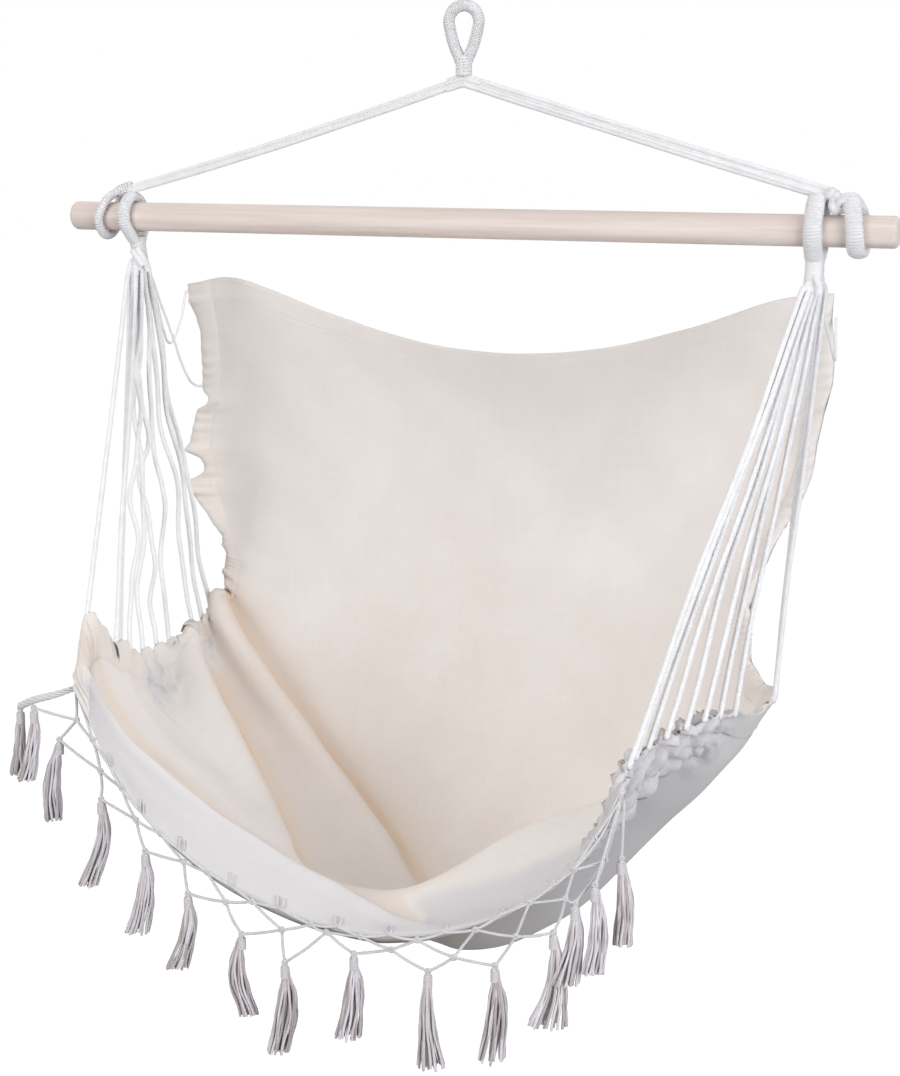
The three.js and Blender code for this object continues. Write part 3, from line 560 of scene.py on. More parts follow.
# Places that the sling passes through, row by row from the top of the back to the front edge, as
# shares of the half width, the reach and the drop, measured from the bar.
SLING_SHARES = np.array([
    [[-1.00, 0.35, 0.110], [-0.83, 0.35, 0.100], [-0.54, 0.37, 0.147],
     [-0.27, 0.38, 0.185], [0.02, 0.38, 0.198], [0.30, 0.38, 0.188],
     [0.59, 0.37, 0.150], [0.84, 0.35, 0.105], [1.00, 0.35, 0.093]],
    [[-0.96, 0.36, 0.25], [-0.83, 0.38, 0.25], [-0.55, 0.42, 0.27],
     [-0.27, 0.45, 0.29], [0.01, 0.46, 0.30], [0.29, 0.45, 0.29],
     [0.59, 0.42, 0.27], [0.85, 0.37, 0.24], [1.00, 0.35, 0.22]],
    [[-1.01, 0.35, 0.38], [-0.84, 0.38, 0.38], [-0.55, 0.43, 0.40],
     [-0.27, 0.47, 0.42], [0.01, 0.48, 0.43], [0.28, 0.47, 0.42],
     [0.57, 0.42, 0.40], [0.82, 0.36, 0.37], [0.95, 0.33, 0.36]],
    [[-0.93, 0.33, 0.50], [-0.80, 0.35, 0.50], [-0.53, 0.41, 0.53],
     [-0.26, 0.45, 0.55], [0.01, 0.46, 0.56], [0.27, 0.44, 0.55],
     [0.54, 0.39, 0.52], [0.76, 0.31, 0.48], [0.86, 0.27, 0.47]],
    [[-0.86, 0.29, 0.56], [-0.76, 0.29, 0.58], [-0.52, 0.33, 0.64],
     [-0.25, 0.38, 0.68], [0.02, 0.40, 0.69], [0.28, 0.38, 0.68],
     [0.54, 0.33, 0.64], [0.74, 0.24, 0.59], [0.83, 0.18, 0.57]],
    [[-0.89, 0.22, 0.61], [-0.78, 0.18, 0.66], [-0.52, 0.18, 0.75],
     [-0.25, 0.22, 0.81], [0.03, 0.24, 0.82], [0.29, 0.22, 0.80],
     [0.56, 0.17, 0.74], [0.78, 0.06, 0.66], [0.90, -0.02, 0.60]],
    [[-0.89, 0.00, 0.63], [-0.77, -0.02, 0.71], [-0.50, 0.00, 0.83],
     [-0.22, 0.03, 0.91], [0.07, 0.03, 0.945], [0.34, 0.00, 0.92],
     [0.62, -0.05, 0.82], [0.85, -0.12, 0.69], [0.97, -0.16, 0.61]],
    [[-0.86, -0.38, 0.62], [-0.74, -0.36, 0.72], [-0.46, -0.32, 0.86],
     [-0.18, -0.28, 0.97], [0.12, -0.27, 1.03], [0.40, -0.28, 0.96],
     [0.66, -0.30, 0.82], [0.87, -0.34, 0.70], [0.97, -0.36, 0.61]],
    [[-0.80, -0.63, 0.58], [-0.72, -0.64, 0.68], [-0.46, -0.63, 0.80],
     [-0.19, -0.62, 0.895], [0.11, -0.60, 0.90], [0.38, -0.58, 0.79],
     [0.62, -0.56, 0.725], [0.80, -0.57, 0.66], [0.88, -0.58, 0.60]],
    [[-0.80, -0.82, 0.52], [-0.73, -0.85, 0.655], [-0.56, -0.86, 0.737],
     [-0.32, -0.86, 0.806], [-0.02, -0.87, 0.86], [0.24, -0.85, 0.862],
     [0.47, -0.84, 0.825], [0.64, -0.82, 0.755], [0.75, -0.78, 0.63]],
    [[-0.81, -0.88, 0.62], [-0.70, -0.92, 0.71], [-0.55, -0.95, 0.787],
     [-0.30, -0.98, 0.852], [0.00, -1.00, 0.880], [0.27, -1.00, 0.871],
     [0.50, -0.98, 0.818], [0.66, -0.94, 0.748], [0.74, -0.88, 0.67]],
])

# Folds that run from the left side down into the seat: places across and along on their crests.
FOLDS = [
    [
        (0.02, 0.47), (0.11, 0.505), (0.209, 0.547), (0.304, 0.587), (0.375, 0.624), (0.43, 0.66),
        (0.49, 0.71),
    ],
    [
        (0.02, 0.585), (0.08, 0.610), (0.137, 0.640), (0.18, 0.660), (0.218, 0.684), (0.25, 0.710),
        (0.28, 0.741), (0.33, 0.79), (0.38, 0.825),
    ],
]
# The folds' width as a share of the sling's length, their height in metres, how steeply they fall to
# the back and to the front, and the way in which they rise, forward and up.
FOLD_WIDTH = 0.035
FOLD_HEIGHT = 0.030
FOLD_STEEP = (1.8, 0.7)
FOLD_WAY = (0.5, 0.85)

# The crest over the front edge, by the same kind of places.
FRONT_CREST = [
    (-0.02, 1.0), (0.015, 0.975), (0.07, 0.93), (0.13, 0.907), (0.255, 0.90), (0.375, 0.90),
    (0.495, 0.905), (0.565, 0.935), (0.62, 0.975),
]


def through(values, shares):
    """Smooth curve along the first axis through evenly spaced values, at shares of its length."""
    last = len(values) - 1
    at = np.clip(shares, 0, 1) * last
    k = np.minimum(np.floor(at).astype(int), last - 1)
    t = (at - k).reshape((-1,) + (1,) * (values.ndim - 1))
    b = values[k]
    c = values[k + 1]
    a = np.where((k > 0).reshape(t.shape), values[np.maximum(k - 1, 0)], 2 * b - c)
    d = np.where((k + 2 <= last).reshape(t.shape), values[np.minimum(k + 2, last)], 2 * c - b)
    return b + 0.5 * t * (c - a + t * (2 * a - 5 * b + 4 * c - d + t * (3 * (b - c) + d - a)))


def beside_fold(crest, across, along):
    """How far places lie from a fold's crest, in widths of a fold, and the share of its length."""
    places, heights = zip(*crest)
    share = (across - places[0]) / (places[-1] - places[0])
    away = (along - np.interp(across, places, heights)) / FOLD_WIDTH
    return away, np.where((share > 0) & (share < 1), share, 0)


def fold_rise(across, along):
    """Height of the folds on a grid, across by columns and along by rows."""
    rise = np.zeros(across.shape)
    for crest in FOLDS:
        away, share = beside_fold(crest, across, along)
        falls = np.where(away < 0, FOLD_STEEP[0], FOLD_STEEP[1])
        rise += np.sin(np.pi * np.sqrt(share)) * np.exp(-((away * falls) ** 2))
    return FOLD_HEIGHT * rise


def sling_grid(across, along):
    """Points of the sling on a grid of shares (rows along, columns across), in metres."""
    sizes = bpy.context.scene.chair_sling
    by_column = through(SLING_SHARES.transpose(1, 0, 2), across)
    grid = through(by_column.transpose(1, 0, 2), along)
    wide, long = np.meshgrid(across, along)
    rise = fold_rise(wide, long)
    place = np.empty(grid.shape)
    place[..., 0] = grid[..., 0] * sizes.half_width + BAR.x
    place[..., 1] = grid[..., 1] * sizes.reach - rise * FOLD_WAY[0]
    place[..., 2] = rise * FOLD_WAY[1] - grid[..., 2] * sizes.drop + BAR.z
    return place


def sling_place(across, along):
    """One point of the sling."""
    return Vector(sling_grid(np.array([across]), np.array([along]))[0, 0])


def sling_out(across, along):
    """The way out of the sling, away from the sitter."""
    near = 0.004
    side = sling_place(min(across + near, 1), along) - sling_place(max(across - near, 0), along)
    down = sling_place(across, min(along + near, 1)) - sling_place(across, max(along - near, 0))
    return side.cross(down).normalized()


# ---------------------------------------------------------------- routes of loops and cords

SIDES = {"left": -1, "right": 1}
# Where the seat loops lie out along the bar and how far they hang below it, and where the bridle's
# knots lie out along the bar and above it, in millimetres.
SEAT_LOOP_PLACE = 412
SEAT_LOOP_DROP = 60
KNOT_PLACE = 430
KNOT_HEIGHT = 38.5

# Each cord with its column and row in the neck, its share along the rim, its slack, and the height
# and number of its waves.
SINGLE_CORDS = [
    ("corner_cord_left", -2.6, 0, 0.895, 0, 0, 0),
    ("side_cord_left_1", -0.5, 1, 0.735, 0, 4, 3),
    ("side_cord_left_2", -0.5, 0, 0.69, 2, 5, 2),
    ("side_cord_left_3", -0.5, -1, 0.66, 2, 5, 3),
    ("side_cord_left_4", 0.5, 0.5, 0.635, 1, 4, 2),
    ("side_cord_left_5", 1, -0.5, 0.575, 1, 4, 2),
    ("side_cord_left_6", 1.5, 0.5, 0.545, 0, 3, 2),
    ("side_cord_left_7", 2, -0.5, 0.51, 0, 3, 2),
    ("front_cord_right_1", -2.5, -0.5, 0.93, 0, 1.6, 1),
    ("front_cord_right_2", -2.0, 0.5, 0.905, 1, 2.2, 1),
    ("front_cord_right_3", -1.5, -0.5, 0.88, 0, 1.3, 1),
    ("front_cord_right_4", -1.0, 0.5, 0.855, 1, 1.8, 1),
    ("front_cord_right_5", -0.5, -0.5, 0.83, 0, 2.4, 1),
    ("front_cord_right_6", 0.0, 0.5, 0.805, 1, 1.5, 1),
    ("front_cord_right_7", 0.5, -0.5, 0.78, 0, 2.0, 1),
    ("front_cord_right_8", 1.0, 0.5, 0.755, 1, 1.6, 1),
]
# Bundles in the same way, with their number of strands.
BUNDLES = [
    ("front_cord_bundle_left", -1.6, 0, 0.80, 3),
    ("rear_cord_bundle_right", 2.1, 0, 0.62, 3),
]
# The distance of columns and rows in millimetres, how much further apart columns start, and the
# factors for the waves of single cords and of bundles.
CORD_SPACING = 5.4
CORD_FAN = 0.0026
CORD_WAVE = 1.4
BUNDLE_WAVE = 1.2
# How far a cord's end reaches into the hem, and the steps along the line of a laid cord.
CORD_TUCK = 0.002
CORD_STEP = 0.0018

# Slack lacing cords, by points chosen in millimetres from the middle of the bar.
LACING = {
    "lacing_cord_left_1": [
        (-414.6, 15.7, -60.6), (-413, 21, -76), (-411, 29, -94), (-411, 38, -112), (-413, 48, -130),
        (-415, 58, -145), (-417, 67, -156), (-418, 76, -161), (-418, 84, -159), (-417, 91, -151),
        (-416, 97, -141), (-415, 103, -130), (-415, 108, -118), (-415, 112, -107), (-414, 115, -98),
    ],
    "lacing_cord_left_2": [
        (-410.5, 16, -60.7), (-408, 21, -75), (-406, 28, -92), (-405, 36, -109), (-404, 45, -126),
        (-403, 54, -143), (-402, 62, -159), (-402, 70, -174), (-402, 78, -187), (-402, 86, -198),
        (-402, 94, -207), (-402, 101, -213), (-401, 108, -217), (-400, 114, -219), (-398, 119, -220),
    ],
    "lacing_cord_right": [
        (412, 15.9, -60.7), (414, 22, -72), (416, 30, -86), (418, 38, -100), (420, 47, -113),
        (421, 55, -125), (422, 63, -135), (422, 71, -142), (422, 79, -145), (421, 87, -144),
        (420, 94, -139), (418, 100, -131), (416, 106, -122), (415, 111, -112), (414, 115, -102),
    ],
}


def eye_route(radius, half_gap, drop, straight):
    """A rope's way round a circle and down into two parallel legs, as pairs across and up."""
    reach = drop - straight
    lean = math.asin(radius / math.hypot(reach, half_gap)) - math.atan2(half_gap, reach)
    points = [(-half_gap, -drop), (-half_gap, -reach - straight / 2), (-half_gap, -reach)]
    start = (-radius * math.cos(lean), -radius * math.sin(lean))
    for k in (1, 2):
        share = k / 3
        points.append((-half_gap + (start[0] + half_gap) * share, -reach + (start[1] + reach) * share))
    for k in range(11):
        turn = math.pi + lean - (math.pi + 2 * lean) * k / 10
        points.append((radius * math.cos(turn), radius * math.sin(turn)))
    return points + [(-across, up) for across, up in reversed(points[:5])]


def side_of(name):
    return "left" if "left" in name else "right"


def knot_place(sign):
    return at_bar(sign * KNOT_PLACE, 0, KNOT_HEIGHT)


def held_line(start, end, slack, wave, waves, number):
    """A held cord's way: nearly straight, with the waves that it keeps from the packing."""
    count = 8 * waves + 3 if waves else 4
    points = []
    for k in range(count + 1):
        share = k / count
        hold = math.sin(math.pi * share ** 1.3) ** 0.7
        swing = math.sin(2 * math.pi * waves * share)
        swing += 0.45 * math.sin(2 * math.pi * waves * 1.9 * share + number * 1.3)
        point = start.lerp(end, share)
        point.x += wave * MILLIMETRE * hold * swing
        point.y -= slack * MILLIMETRE * hold
        points.append(point)
    return points


def cord_ends(side, column, row, along):
    """Where a cord leaves the neck of its seat loop, and where it meets the rim of the sling."""
    sign = SIDES[side]
    out = sign * SEAT_LOOP_PLACE + row * CORD_SPACING
    start = at_bar(out, column * CORD_SPACING, -SEAT_LOOP_DROP - 2)
    start.x += column * CORD_FAN
    return start, sling_place(0 if sign < 0 else 1, along)


# ---------------------------------------------------------------- operators

# Half the thickness of the eye's served rope and of the whipped neck, and the neck's ends.
EYE_RADIUS = 0.00686
NECK_RADIUS = 0.0088
NECK_ENDS = [(0, 0, -0.0685), (0, 0, -0.0485)]
# Half of the hanging eye's way, from the neck to the top: out and up, in millimetres.
EYE_ROUTE = [
    (4.3, -55), (5, -50), (9.5, -41), (12.6, -33), (15, -25), (16.8, -17), (17.9, -11),
    (17.2, -6.2), (15.5, -2), (12.7, 1.7), (8.9, 4.5), (4.6, 6.3),
]


class BuildHangingEye(Operator):
    """Serve the hanging eye and its neck with twine"""

    bl_idname = "hammock_chair.hanging_eye"
    bl_label = "Hanging Eye"

    def execute(self, context):
        twine = context.scene.chair_ropes.eye_twine
        half = [Vector((out, 0, up)) * MILLIMETRE for out, up in EYE_ROUTE]
        route = [*half, Vector((0, 0, 0.0069)), *[Vector((-p.x, 0, p.z)) for p in reversed(half)]]
        eye = served("hanging_eye_served", smooth_line(route, 0.001), EYE_RADIUS, twine, 0.42)
        settle(eye, "cotton_twine", "cotton_rope", "eye", "hanging_eye_rope", "hanging_eye_serving")
        neck = served("neck_whipped", NECK_ENDS, NECK_RADIUS, twine * 1.5, 0.12, (1.1, 0.95))
        settle(neck, "cotton_twine", "cotton_rope", "neck", "neck_whipping")
        return {"FINISHED"}


# Heights of the bridle's cords above its middle line, and their thickness, in millimetres.
BRIDLE_CORDS = {"left": ((-3.2, 0.0, 3.2), 5.4), "right": ((-5.2, -1.75, 1.75, 5.2), 5.8)}
# How far the cords sag in the middle, and how much lower they end, in millimetres.
BRIDLE_SAG = {"left": 4.0, "right": 1.0}
BRIDLE_LOW = {"left": 8.0, "right": 2.0}


class BuildBridle(Operator):
    """Lay the cords of the bridle and bend them over the crown"""

    bl_idname = "hammock_chair.bridle"
    bl_label = "Bridle"

    def execute(self, context):
        crown = Vector((0, 0, -CROWN_DROP))
        for side, sign in SIDES.items():
            knot = knot_place(sign) - Vector((0, 0, BRIDLE_LOW[side] * MILLIMETRE))
            way = (knot - crown).normalized()
            over = Vector((0, -1, 0)).cross(way) * -sign
            heights, thick = BRIDLE_CORDS[side]
            chance = random.Random(side)
            lines = []
            for k, high in enumerate(heights):
                deep = 0.0003 if k % 2 else -0.0003
                points = []
                for step in range(9):
                    share = step / 8
                    pinch = 0.92 + 0.08 * math.sin(math.pi * share) ** 0.5
                    sag = BRIDLE_SAG[side] * math.sin(math.pi * share) * MILLIMETRE
                    stray = chance.uniform(-0.0003, 0.0003)
                    point = crown.lerp(knot, share) + over * (high * MILLIMETRE * pinch + stray)
                    points.append(point + Vector((0, deep + chance.uniform(-0.0003, 0.0003), -sag)))
                lines.append(smooth_line(points, 0.012))
            radii = [thick / 2 * MILLIMETRE] * len(lines)
            piece = cords_from(f"bridle_cords_{side}", lines, radii, sides=4)
            settle(piece, "bridle_cord", "cotton_rope", "bridle", f"bridle_rope_{side}")
        self.crown(crown)
        return {"FINISHED"}

    def crown(self, crown):
        """Short cords that bend over the crown and join the two sides."""
        left = (knot_place(-1) - crown).normalized()
        right = (knot_place(1) - crown).normalized()
        ways = [(left, 0.021), (left, 0.010), (left, 0.003)]
        ways += [(right, 0.003), (right, 0.010), (right, 0.021)]
        lines = []
        for k, high in enumerate((-5.2, -1.8, 1.7, 5.0)):
            lift = Vector((0, 0, high * MILLIMETRE))
            deep = Vector((0, 0.0012 if k % 2 else -0.0012, 0))
            points = [crown + lift + deep + way * reach for way, reach in ways]
            lines.append(smooth_line(points, 0.0015))
        piece = cords_from("crown_cords", lines, [0.0027] * 4, sides=4)
        settle(piece, "bridle_cord", "cotton_rope", "crown", "bridle_crown")


# The way of an end loop in millimetres: out along the bar, towards the back, and up.
END_LOOP_ROUTE = [
    (434, -3, 38), (441, -7, 33.5), (448.5, -14, 25.5), (455, -20.3, 12), (458.5, -22.9, -2),
    (459, -19.3, -12.6), (459.5, -10.6, -20.4), (460, 0, -23), (459.5, 10.6, -20.4), (459, 19.3, -12.6),
    (458.5, 22.9, -2), (455, 20.3, 12), (448.5, 14, 25.5), (441, 7, 33.5), (434, 3, 38),
]
# The place on the bar, in millimetres, from which the loop's lean is counted.
END_LOOP_FOOT = 456
# Half the thickness of a loop, how much wider than thick it is, the share of its lean, how far in it
# lies and how much its top is lowered, in millimetres, and the share of the twine its grooves are deep.
END_LOOP_FORMS = {"left": (0.0054, 1.0, 1.0, 4.5, 7, 0.34), "right": (0.0057, 1.75, 0.5, 0, 1, 0.22)}
# The knots over the end loops: their way in millimetres from the middle of the bar, half their
# thickness, and the thickness of the turns and the depth of the grooves as shares of the twine.
END_KNOTS = {
    "left": ([(-420, 0, 35), (-427, 0, 33), (-434, 0, 30.5), (-440, 0, 27)], 0.0078, 0.9, 0.35),
    "right": ([(424, 0, 39), (431, -1, 35), (438, -3, 30), (444, -4, 26)], 0.0085, 1.3, 0.2),
}
# Turns of rope that lie on a knot: place in millimetres, radius, half the rope's thickness, and turn.
END_KNOT_LOBES = {
    "left": [],
    "right": [
        ((434, -8, 26), 0.0056, 0.0042, (1.2, 0.3, 0.9)),
        ((441, -10, 27), 0.0052, 0.0038, (1.9, 0.2, 0.4)),
    ],
}


class BuildEndLoops(Operator):
    """Wind the rope loops at the ends of the bar and the knots of the bridle"""

    bl_idname = "hammock_chair.end_loops"
    bl_label = "End Loops"

    def execute(self, context):
        twine = context.scene.chair_ropes.loop_twine
        for side, sign in SIDES.items():
            thick, wide, lean, inward, low, relief = END_LOOP_FORMS[side]
            ring = []
            for x, y, z in END_LOOP_ROUTE:
                out = END_LOOP_FOOT + (x - END_LOOP_FOOT) * lean - inward * min(1, max(0, 40 - z) / 30)
                ring.append(at_bar(sign * out, y, z - low * max(0, z) / 38))
            loop = served(f"end_loop_ring_{side}", ring, thick, twine * 0.7, relief, (wide, 1.0))
            way, knot_thick, turns, knot_relief = END_KNOTS[side]
            neck = [at_bar(*place) for place in way]
            knot = [served(f"end_knot_{side}", neck, knot_thick, twine * turns, knot_relief)]
            knot += [self.lobe(*lobe) for lobe in END_KNOT_LOBES[side]]
            whole = joined(f"end_loop_served_{side}", [loop, *knot])
            solids = (f"end_loop_{side}", f"end_loop_serving_{side}")
            settle(whole, "cotton_twine", "cotton_rope", "bridle", *solids)
        return {"FINISHED"}

    def lobe(self, place, major, minor, turn):
        """One turn of rope on a knot."""
        lobe = primitive(
            bpy.ops.mesh.primitive_torus_add, location=at_bar(*place), rotation=turn,
            major_radius=major, minor_radius=minor, major_segments=32, minor_segments=16,
        )
        bpy.ops.object.shade_smooth()
        return lobe


class BuildSpreaderBar(Operator):
    """Turn the spreader bar with its eased ends"""

    bl_idname = "hammock_chair.spreader_bar"
    bl_label = "Spreader Bar"

    def execute(self, context):
        bar = primitive(
            bpy.ops.mesh.primitive_cylinder_add, vertices=96, radius=BAR_RADIUS, depth=BAR_LENGTH,
            location=BAR, rotation=(0, math.pi / 2, 0),
        )
        bar.name = "spreader_bar_turned"
        modify(
            bar, "BEVEL", width=0.0055, segments=6, limit_method="ANGLE", angle_limit=math.radians(60)
        )
        bpy.ops.object.shade_smooth_by_angle(angle=math.radians(30))
        settle(bar, "birch_wood", "wood", "bar", "spreader_bar")
        return {"FINISHED"}


# How far the top of a seat loop is lifted by the knot under it, and leans out, in millimetres, half
# its thickness, how much wider than thick it is, and the share of the twine that its grooves are deep.
SEAT_LOOP_FORMS = {"left": (1.0, 7.0, 0.0060, 1.38, 0.32), "right": (12.0, 1.0, 0.0060, 1.75, 0.2)}
# Half the thickness of a loop's leg and of its whipping, half the gap between the loop's ropes and
# the length of the leg in millimetres, and how far below the bar's middle the two ropes part.
SEAT_LOOP_LEG_RADIUS = 0.0076
WHIPPING_RADIUS = 0.0086
SEAT_LOOP_GAP = 5.0
SEAT_LOOP_LEG = 29
SEAT_LOOP_PARTING = 0.031
# The whipping under a seat loop: how much wider than thick it is, its way, and the ways of the two
# rope ends that lie on it, in millimetres from the loop's place on the bar.
WHIPPINGS = {
    "left": (
        (1.05, 1.25),
        [(-3, 0, -27), (0, 0, -44), (4, 0, -65)],
        [(2, -9, -38), (8, -10, -44), (12, -8, -53), (14, -4, -64)],
        [(-4, -9, -40), (3, -11.5, -48), (10, -9, -58)],
    ),
    "right": (
        (1.35, 1.35),
        [(0, 0, -49), (0, 0, -65)],
        [(3, -9, -48), (7, -9.5, -56), (8, -9, -66)],
        [(-2, -10, -52), (-7, -10, -60), (-11, -8, -69)],
    ),
}


class BuildSeatLoops(Operator):
    """Wind the rope loops that hang the seat from the bar"""

    bl_idname = "hammock_chair.seat_loops"
    bl_label = "Seat Loops"

    def execute(self, context):
        twine = context.scene.chair_ropes.loop_twine
        for side, sign in SIDES.items():
            lift, lean, thick, wide, relief = SEAT_LOOP_FORMS[side]
            place = sign * SEAT_LOOP_PLACE
            line = smooth_line(self.route(lift, lean, sign), 0.001)
            apart = [p for p in line if p.z > BAR.z - SEAT_LOOP_PARTING]
            leg = [at_bar(place, 0, -24), at_bar(place, 0, -SEAT_LOOP_DROP)]
            leg_wide = (thick * wide / SEAT_LOOP_LEG_RADIUS, 1.25)
            parts = [
                served(f"seat_loop_turns_{side}", apart, thick, twine * 0.7, relief, (wide, 1.0), line),
                served(f"seat_loop_leg_{side}", leg, SEAT_LOOP_LEG_RADIUS, twine * 0.8, 0.12, leg_wide),
            ]
            loop = joined(f"seat_loop_served_{side}", parts)
            solids = (f"seat_loop_{side}", f"seat_loop_serving_{side}")
            settle(loop, "cotton_twine", "cotton_rope", "seat", *solids)
            self.whipping(side, place, twine, relief)
        return {"FINISHED"}

    def route(self, lift, lean, sign):
        """The way of a loop's rope, up from the neck, over the bar and down again."""
        points = []
        radius = LOOP_RADIUS * 1000 - 3.0
        for back, up in eye_route(radius, SEAT_LOOP_GAP, SEAT_LOOP_DROP, SEAT_LOOP_LEG):
            raised = max(0.0, up / radius) ** 4
            out = lean * min(1.0, max(0.0, (up + 44) / 40))
            points.append(at_bar(sign * (SEAT_LOOP_PLACE + out), back, up + lift * raised))
        return points

    def whipping(self, side, place, twine, relief):
        """The twine that binds a loop under the bar, with the rope ends on it."""
        wide, *ways = WHIPPINGS[side]
        neck, *tails = [[at_bar(place + x, y, z) for x, y, z in way] for way in ways]
        name = f"seat_loop_whipping_turns_{side}"
        parts = [served(name, neck, WHIPPING_RADIUS, twine * 0.8, relief, wide)]
        for number, way in enumerate(tails):
            line = smooth_line(way, 0.0015)
            parts.append(cords_from(f"whipping_tail_{side}_{number}", [line], [0.0040], sides=4))
        whole = joined(f"seat_loop_whipped_{side}", parts)
        settle(whole, "cotton_twine", "cotton_rope", "seat", f"seat_loop_whipping_{side}")


class LayHeldCords(Operator):
    """Lay the suspension cords between the seat loops and the sides of the sling"""

    bl_idname = "hammock_chair.held_cords"
    bl_label = "Suspension Cords"

    def execute(self, context):
        sizes = context.scene.chair_ropes
        for number, (name, column, row, along, slack, wave, waves) in enumerate(SINGLE_CORDS):
            start, end = cord_ends(side_of(name), column, row, along)
            top = self.top(side_of(name), column * 0.0012, row * 0.001)
            held = held_line(start, end, slack, wave * CORD_WAVE, waves, number)
            self.settle_cords(name, *self.laid(top, held, start, end, number, sizes))
        for name, column, row, along, strands in BUNDLES:
            side = side_of(name)
            lines = []
            radii = []
            start, end = cord_ends(side, column, row, along)
            over = (sling_place(0 if side == "left" else 1, along + 0.01) - end).normalized()
            for k in range(strands):
                aside = (k - (strands - 1) / 2) * sizes.cord_diameter
                first = start + Vector((aside * 0.7, 0, 0))
                last = end + over * aside
                held = held_line(first, last, 0, BUNDLE_WAVE, 1, k)
                plies = self.laid(self.top(side, aside * 0.4, 0), held, first, last, k, sizes)
                lines.extend(plies[0])
                radii.extend(plies[1])
            self.settle_cords(name, lines, radii)
        return {"FINISHED"}

    def top(self, side, aside, deep):
        """Where a cord starts, hidden in the whipping under its seat loop."""
        out, drop = (3 - SEAT_LOOP_PLACE, 52) if side == "left" else (SEAT_LOOP_PLACE, 54)
        return at_bar(out, 0, -drop) + Vector((aside, deep, 0))

    def laid(self, top, held, start, end, number, sizes):
        """The plies of a cord from the whipping to just within the hem, as lines and radii."""
        points = [top, *held, end + (end - start).normalized() * CORD_TUCK]
        return soft_laid(smooth_line(points, CORD_STEP), sizes.cord_diameter, sizes.cord_lay, number)

    def settle_cords(self, name, lines, radii):
        settle(cords_from(name + "_laid", lines, radii), "cotton_cord", "cotton_rope", "seat", name)


class HangLacingCords(Operator):
    """Hang the slack lacing cords beside the back"""

    bl_idname = "hammock_chair.lacing_cords"
    bl_label = "Lacing Cords"

    def execute(self, context):
        sizes = context.scene.chair_ropes
        for name, places in LACING.items():
            line = smooth_line([at_bar(*place) for place in places], CORD_STEP)
            lines, radii = soft_laid(line, sizes.lacing_diameter, sizes.cord_lay * 0.75)
            piece = cords_from(name + "_laid", lines, radii)
            settle(piece, "cotton_cord", "cotton_rope", "seat", name)
            length_of(line)
        return {"FINISHED"}


# How far the left and right rims draw in, in millimetres, at shares of the sling's length.
RIM_DRAW = {
    "left": [
        (0, -6), (0.012, -7), (0.022, -6), (0.032, -3), (0.043, -1), (0.054, 1), (0.066, -3),
        (0.080, -6), (0.097, -7), (0.108, -6), (0.118, -4), (0.123, 3), (0.127, 16), (0.132, 23),
        (0.138, 19), (0.142, 1), (0.147, -5), (0.17, -1), (0.185, -4), (0.196, -12), (0.199, -2),
        (0.205, 18), (0.213, 24), (0.222, 22), (0.229, 4), (0.234, -20), (0.243, -22),
        (0.262, -12), (0.275, -2), (0.290, 4), (0.302, 14), (0.312, 22), (0.330, 8), (0.345, 12),
        (0.357, 10), (0.372, -4), (0.385, -12), (0.41, -20), (0.425, -16), (0.440, 2), (0.452, 12),
        (0.466, 16), (0.485, 14), (0.50, 6), (0.52, 10), (0.535, 4), (0.545, 0), (0.56, 9),
        (0.575, 0), (0.592, 8), (0.605, 9), (0.618, 5), (0.635, 0), (0.648, 7), (0.66, 0),
        (0.675, 8), (0.69, 0), (0.71, 9), (0.735, 0), (0.75, 8), (0.77, 10), (0.786, 6), (0.80, 0),
        (0.815, 6), (0.83, 13), (0.845, 4), (0.86, 3), (0.895, 0), (1, 0),
    ],
    "right": [
        (0, 0), (0.03, 3), (0.06, -2), (0.10, -4), (0.13, 3), (0.16, 4), (0.19, -4), (0.22, -3),
        (0.26, 4), (0.30, 3), (0.34, 12), (0.36, 14), (0.375, 2), (0.40, -5), (0.43, 2), (0.46, 8),
        (0.50, 3), (0.54, 5), (0.58, -3), (0.62, -6), (0.65, 5), (0.69, 10), (0.72, 4),
        (0.755, -3), (0.767, 6), (0.78, -3), (0.792, 7), (0.805, -3), (0.817, 7), (0.83, -3),
        (0.842, 7), (0.855, -3), (0.867, 8), (0.88, -3), (0.892, 7), (0.905, -3), (0.918, 6),
        (0.93, -3), (0.95, 3), (0.97, 4), (1, 0),
    ],
}

# Distances between the grid's rows, in millimetres, at shares of the sling's length.
ROW_STEPS = [
    (0, 4.2), (0.085, 4.2), (0.10, 2.6), (0.135, 2.8), (0.16, 4.0), (0.19, 2.8), (0.26, 3.0),
    (0.30, 4.2), (0.42, 4.0), (0.54, 3.6), (0.72, 3.9), (0.90, 3.6), (1.0, 3.4),
]

# Openings in the turned layer of the hems where cords come out: side, and shares along the sling.
HEM_SLOTS = [
    ("left", 0.452, 0.474), ("left", 0.594, 0.612), ("left", 0.824, 0.838),
    ("right", 0.640, 0.660), ("right", 0.700, 0.716), ("right", 0.915, 0.945),
]
# The grid's columns in a quarter turn of a hem and between the hems.
HEM_COLUMNS = 9
MIDDLE_COLUMNS = 104
# The small gathers along the hems: their distance, their height and how far in they reach.
GATHER_PITCH = 0.0135
GATHER_HEIGHT = 0.0016
GATHER_REACH = 0.052
# The puckers that run in from the cords: their least depth and how far in they reach.
PUCKER_DEPTH = 0.0055
PUCKER_REACH = 0.062
# Heights of the crumpled cloth at the right and at the left end of the front edge.
CRUMPLE_RIGHT = 0.0140
CRUMPLE_LEFT = 0.0095

# Where the cloth turns out over the front, from where on it gets a cooler, darker painted tint: shares
# across, and along the sling.
FRONT_TURN = [
    (0.0, 0.975), (0.07, 0.912), (0.13, 0.888), (0.5, 0.882), (0.62, 0.865), (0.75, 0.855),
    (0.9, 0.855),
]
